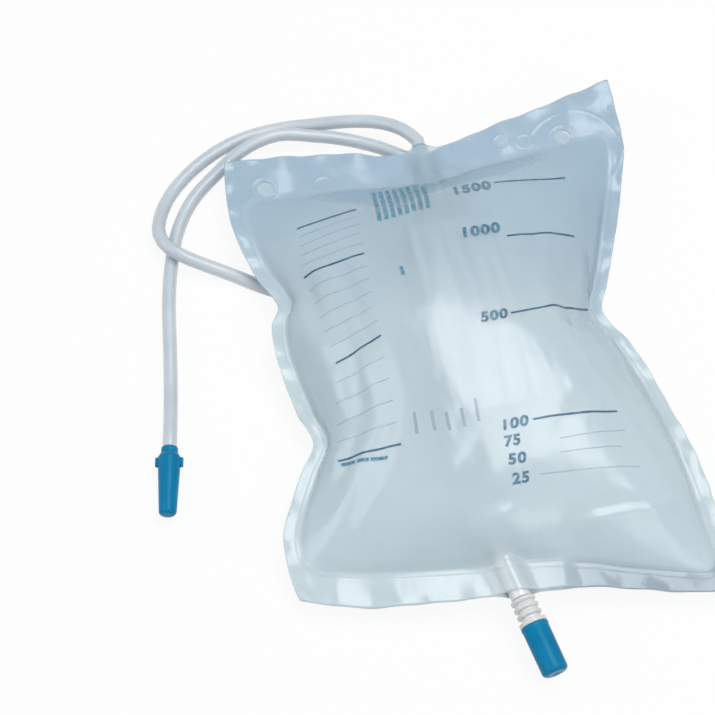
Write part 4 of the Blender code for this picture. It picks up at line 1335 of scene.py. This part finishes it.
printing = {
    "lift": 0.00012, "ink": 0.00004, "cell": 0.0012,
    "lineWidth": 0.0010, "faintWidth": 0.0005,
    # ends of the printed lines in plan, and how far one bows
    "leftLines": (((-0.0730, 0.0891), (-0.0404, 0.0910)), ((-0.0750, 0.0587), (-0.0432, 0.0567)),
                  ((-0.0695, 0.0008), (-0.0453, 0.0048)), ((-0.0785, -0.0485), (-0.0474, -0.0532))),
    "rightLines": (((0.0356, 0.0925), (0.0751, 0.0911)), ((0.0315, 0.0501), (0.0698, 0.0525)),
                   ((0.0213, 0.0018), (0.0674, 0.0116), -0.0018),
                   ((0.0188, -0.0558), (0.0629, -0.0562))),
    "faintBetween": (4, 5, 4),               # only the left side's show
    "faintLow": (((0.0302, -0.0669), (0.0645, -0.0662)), ((0.0287, -0.0733), (0.0607, -0.0744)),
                 ((0.0167, -0.0815), (0.0676, -0.0850))),
    # text, middle in plan, width, height, turn in degrees
    "numbers": (
        ("1500", (0.0229, 0.0905), 0.0208, 0.0094, 2.0),
        ("1000", (0.0189, 0.0557), 0.0208, 0.0068, 3.0),
        ("500", (0.0125, 0.0020), 0.0146, 0.0060, 1.0),
        ("100", (0.0100, -0.0557), 0.0135, 0.0054, 1.0),
        ("75", (0.0066, -0.0638), 0.0086, 0.0054, 1.0),
        ("50", (0.0070, -0.0724), 0.0098, 0.0054, 1.0),
        ("25", (0.0068, -0.0815), 0.0096, 0.0054, 1.0),
    ),
    # letter form: slant, extra weight in heights, spacing
    "slant": 0.16, "weight": 0.040, "letterSpace": 1.12,
}
inkGrain = (900.0, 0.00003, 0.4)
inkTeal = plastic("inkTeal", (0.02, 0.10, 0.19), 0.35,
                  ((0.018, 0.085, 0.155), (0.06, 0.17, 0.26), 220.0), inkGrain)
inkSteel = plastic("inkSteel", (0.08, 0.20, 0.30), 0.35,
                   ((0.045, 0.145, 0.225), (0.12, 0.27, 0.37), 260.0), inkGrain)
inkPale = plastic("inkPale", (0.10, 0.30, 0.44), 0.35,
                  ((0.07, 0.25, 0.37), (0.20, 0.42, 0.54), 420.0), inkGrain, alpha=0.85)
inkFaint = plastic("inkFaint", (0.28, 0.40, 0.53), 0.35,
                   ((0.26, 0.38, 0.50), (0.38, 0.50, 0.61), 120.0), inkGrain, alpha=0.20)


def addStroke(width, start, end, bow=0.0):
    # a flat strip of ink in plan between two places
    run = Vector(end) - Vector(start)
    cells = (max(2, round(run.length / printing["cell"])), max(1, round(width / printing["cell"])))
    strip = addGrid(*cells, 1.0)
    aside = Vector((-run.y, run.x)).normalized()
    placed = []
    for along, across, _ in coordsOf(strip):
        side = width * across + bow * (1.0 - 4.0 * along * along)
        placed.append((*(Vector(start) + run * (along + 0.5) + aside * side), 0.0))
    placeCoords(strip, placed)
    return strip


def sliceFlat(flat):
    # cut into small cells, so that it can follow the film
    coords = coordsOf(flat)
    bpy.ops.object.mode_set(mode="EDIT")
    for axis in (0, 1):
        normal = (1.0, 0.0, 0.0) if axis == 0 else (0.0, 1.0, 0.0)
        low, high = coords[:, axis].min(), coords[:, axis].max()
        for step in np.arange(low + printing["cell"], high, printing["cell"]):
            bpy.ops.mesh.select_all(action="SELECT")
            bpy.ops.mesh.bisect(plane_co=[float(step) * side for side in normal], plane_no=normal)
    bpy.ops.object.mode_set(mode="OBJECT")


def addNumber(text, place, width, height, turn):
    pickNone()
    bpy.ops.object.text_add(location=(0.0, 0.0, 0.0))
    letters = bpy.context.object.data
    letters.body = text
    letters.size = height
    letters.shear = printing["slant"]
    letters.offset = height * printing["weight"]
    letters.space_character = printing["letterSpace"]
    letters.align_x = "CENTER"
    letters.align_y = "CENTER"
    letters.resolution_u = 4
    bpy.ops.object.convert(target="MESH")
    label = bpy.context.object
    flat = coordsOf(label)
    low, high = flat.min(axis=0), flat.max(axis=0)
    size = high - low
    flat = (flat - (low + high) / 2.0) * (width / size[0], height / size[1], 1.0)
    placeCoords(label, flat)
    label.rotation_euler = (0.0, 0.0, math.radians(turn))
    label.location = (*place, 0.0)
    bpy.ops.object.transform_apply(location=True, rotation=True, scale=True)
    sliceFlat(label)
    return label


def printOn(name, strokes, look):
    # the flat shapes become one layer of ink on the film
    pickAll(*strokes)
    bpy.ops.object.join()
    layer = bpy.context.view_layer.objects.active
    layer.name = name
    pickAll(layer)
    editAll(mergeNear(0.00001), faceOut)
    if sum(polygon.normal.z * polygon.area for polygon in layer.data.polygons) < 0.0:
        editAll(bpy.ops.mesh.flip_normals)
    placeCoords(layer, [onFilm(x, y, printing["lift"]) for x, y, _ in coordsOf(layer)])
    finishWith(layer, "SOLIDIFY", thickness=printing["ink"], offset=1.0)
    smoothBelow(50.0)
    giveLook(layer, look)
    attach(layer, "bag")


def between(first, second, share):
    return tuple(blendTo(a, b, share) for a, b in zip(first, second))


def addScale():
    lines = printing["leftLines"]
    strong = [addStroke(printing["lineWidth"], *line) for line in lines + printing["rightLines"]]
    printOn("scaleLines", strong, inkTeal)
    printOn("scaleNumbers", [addNumber(*number) for number in printing["numbers"]], inkSteel)
    faint = [addStroke(printing["faintWidth"], *line) for line in printing["faintLow"]]
    for upper, lower, count in zip(lines, lines[1:], printing["faintBetween"]):
        for step in range(1, count + 1):
            ends = (between(upper[end], lower[end], step / (count + 1)) for end in (0, 1))
            faint.append(addStroke(printing["faintWidth"], *ends))
    printOn("faintLines", faint, inkFaint)


textBars = {
    # a block of printed columns that run along the bag, each broken into words:
    # top and bottom of the outer two, and how much higher each column starts
    "leftColumn": ((-0.0274, 0.1083), (-0.0308, 0.0753)),
    "rightColumn": ((-0.0003, 0.1056), (-0.0042, 0.0777)),
    "topShift": (0.0, 0.0005, 0.0010, 0.0015, 0.0025, 0.0035, 0.0020, 0.0),
    "width": 0.0021, "gap": 0.03,
    # shares of a column that its words take
    "words": ((0.34, 0.23, 0.37), (0.25, 0.38, 0.31), (0.37, 0.28, 0.29), (0.22, 0.40, 0.32),
              (0.30, 0.17, 0.26, 0.18), (0.22, 0.41, 0.31), (0.33, 0.28, 0.33), (0.40, 0.24, 0.30)),
    # one short mark below it, and the row of small bars under the lowest left line
    "mark": ((-0.0269, 0.0417), (-0.0268, 0.0360)), "markWidth": 0.0018,
    "underLine": (((-0.0774, -0.0508), (-0.0705, -0.0528)),
                  ((-0.0695, -0.0531), (-0.0640, -0.0547)),
                  ((-0.0630, -0.0550), (-0.0550, -0.0573))), "underWidth": 0.0017,
    # five short bars in a row over the sleeve: top and bottom places
    "strips": (((-0.0379, -0.0394), (-0.0387, -0.0504)), ((-0.0296, -0.0410), (-0.0298, -0.0512)),
               ((-0.0227, -0.0438), (-0.0226, -0.0529)), ((-0.0150, -0.0436), (-0.0151, -0.0532)),
               ((-0.0072, -0.0402), (-0.0078, -0.0519))), "stripWidth": 0.0016,
}


def addTextBars():
    words = []
    tops, ends = zip(textBars["leftColumn"], textBars["rightColumn"])
    for index, (shift, shares) in enumerate(zip(textBars["topShift"], textBars["words"])):
        across = index / (len(textBars["words"]) - 1)
        topX, topY = between(*tops, across)
        top, end = (topX, topY + shift), between(*ends, across)
        done = 0.0
        for share in shares:
            word = between(top, end, done), between(top, end, done + share)
            words.append(addStroke(textBars["width"], *word))
            done += share + textBars["gap"]
    words.append(addStroke(textBars["markWidth"], *textBars["mark"]))
    words += [addStroke(textBars["underWidth"], *bar) for bar in textBars["underLine"]]
    printOn("smallBars", words, inkPale)
    strips = [addStroke(textBars["stripWidth"], *bar) for bar in textBars["strips"]]
    printOn("sleeveBars", strips, inkFaint)


addScale()
addTextBars()
print("printing done")
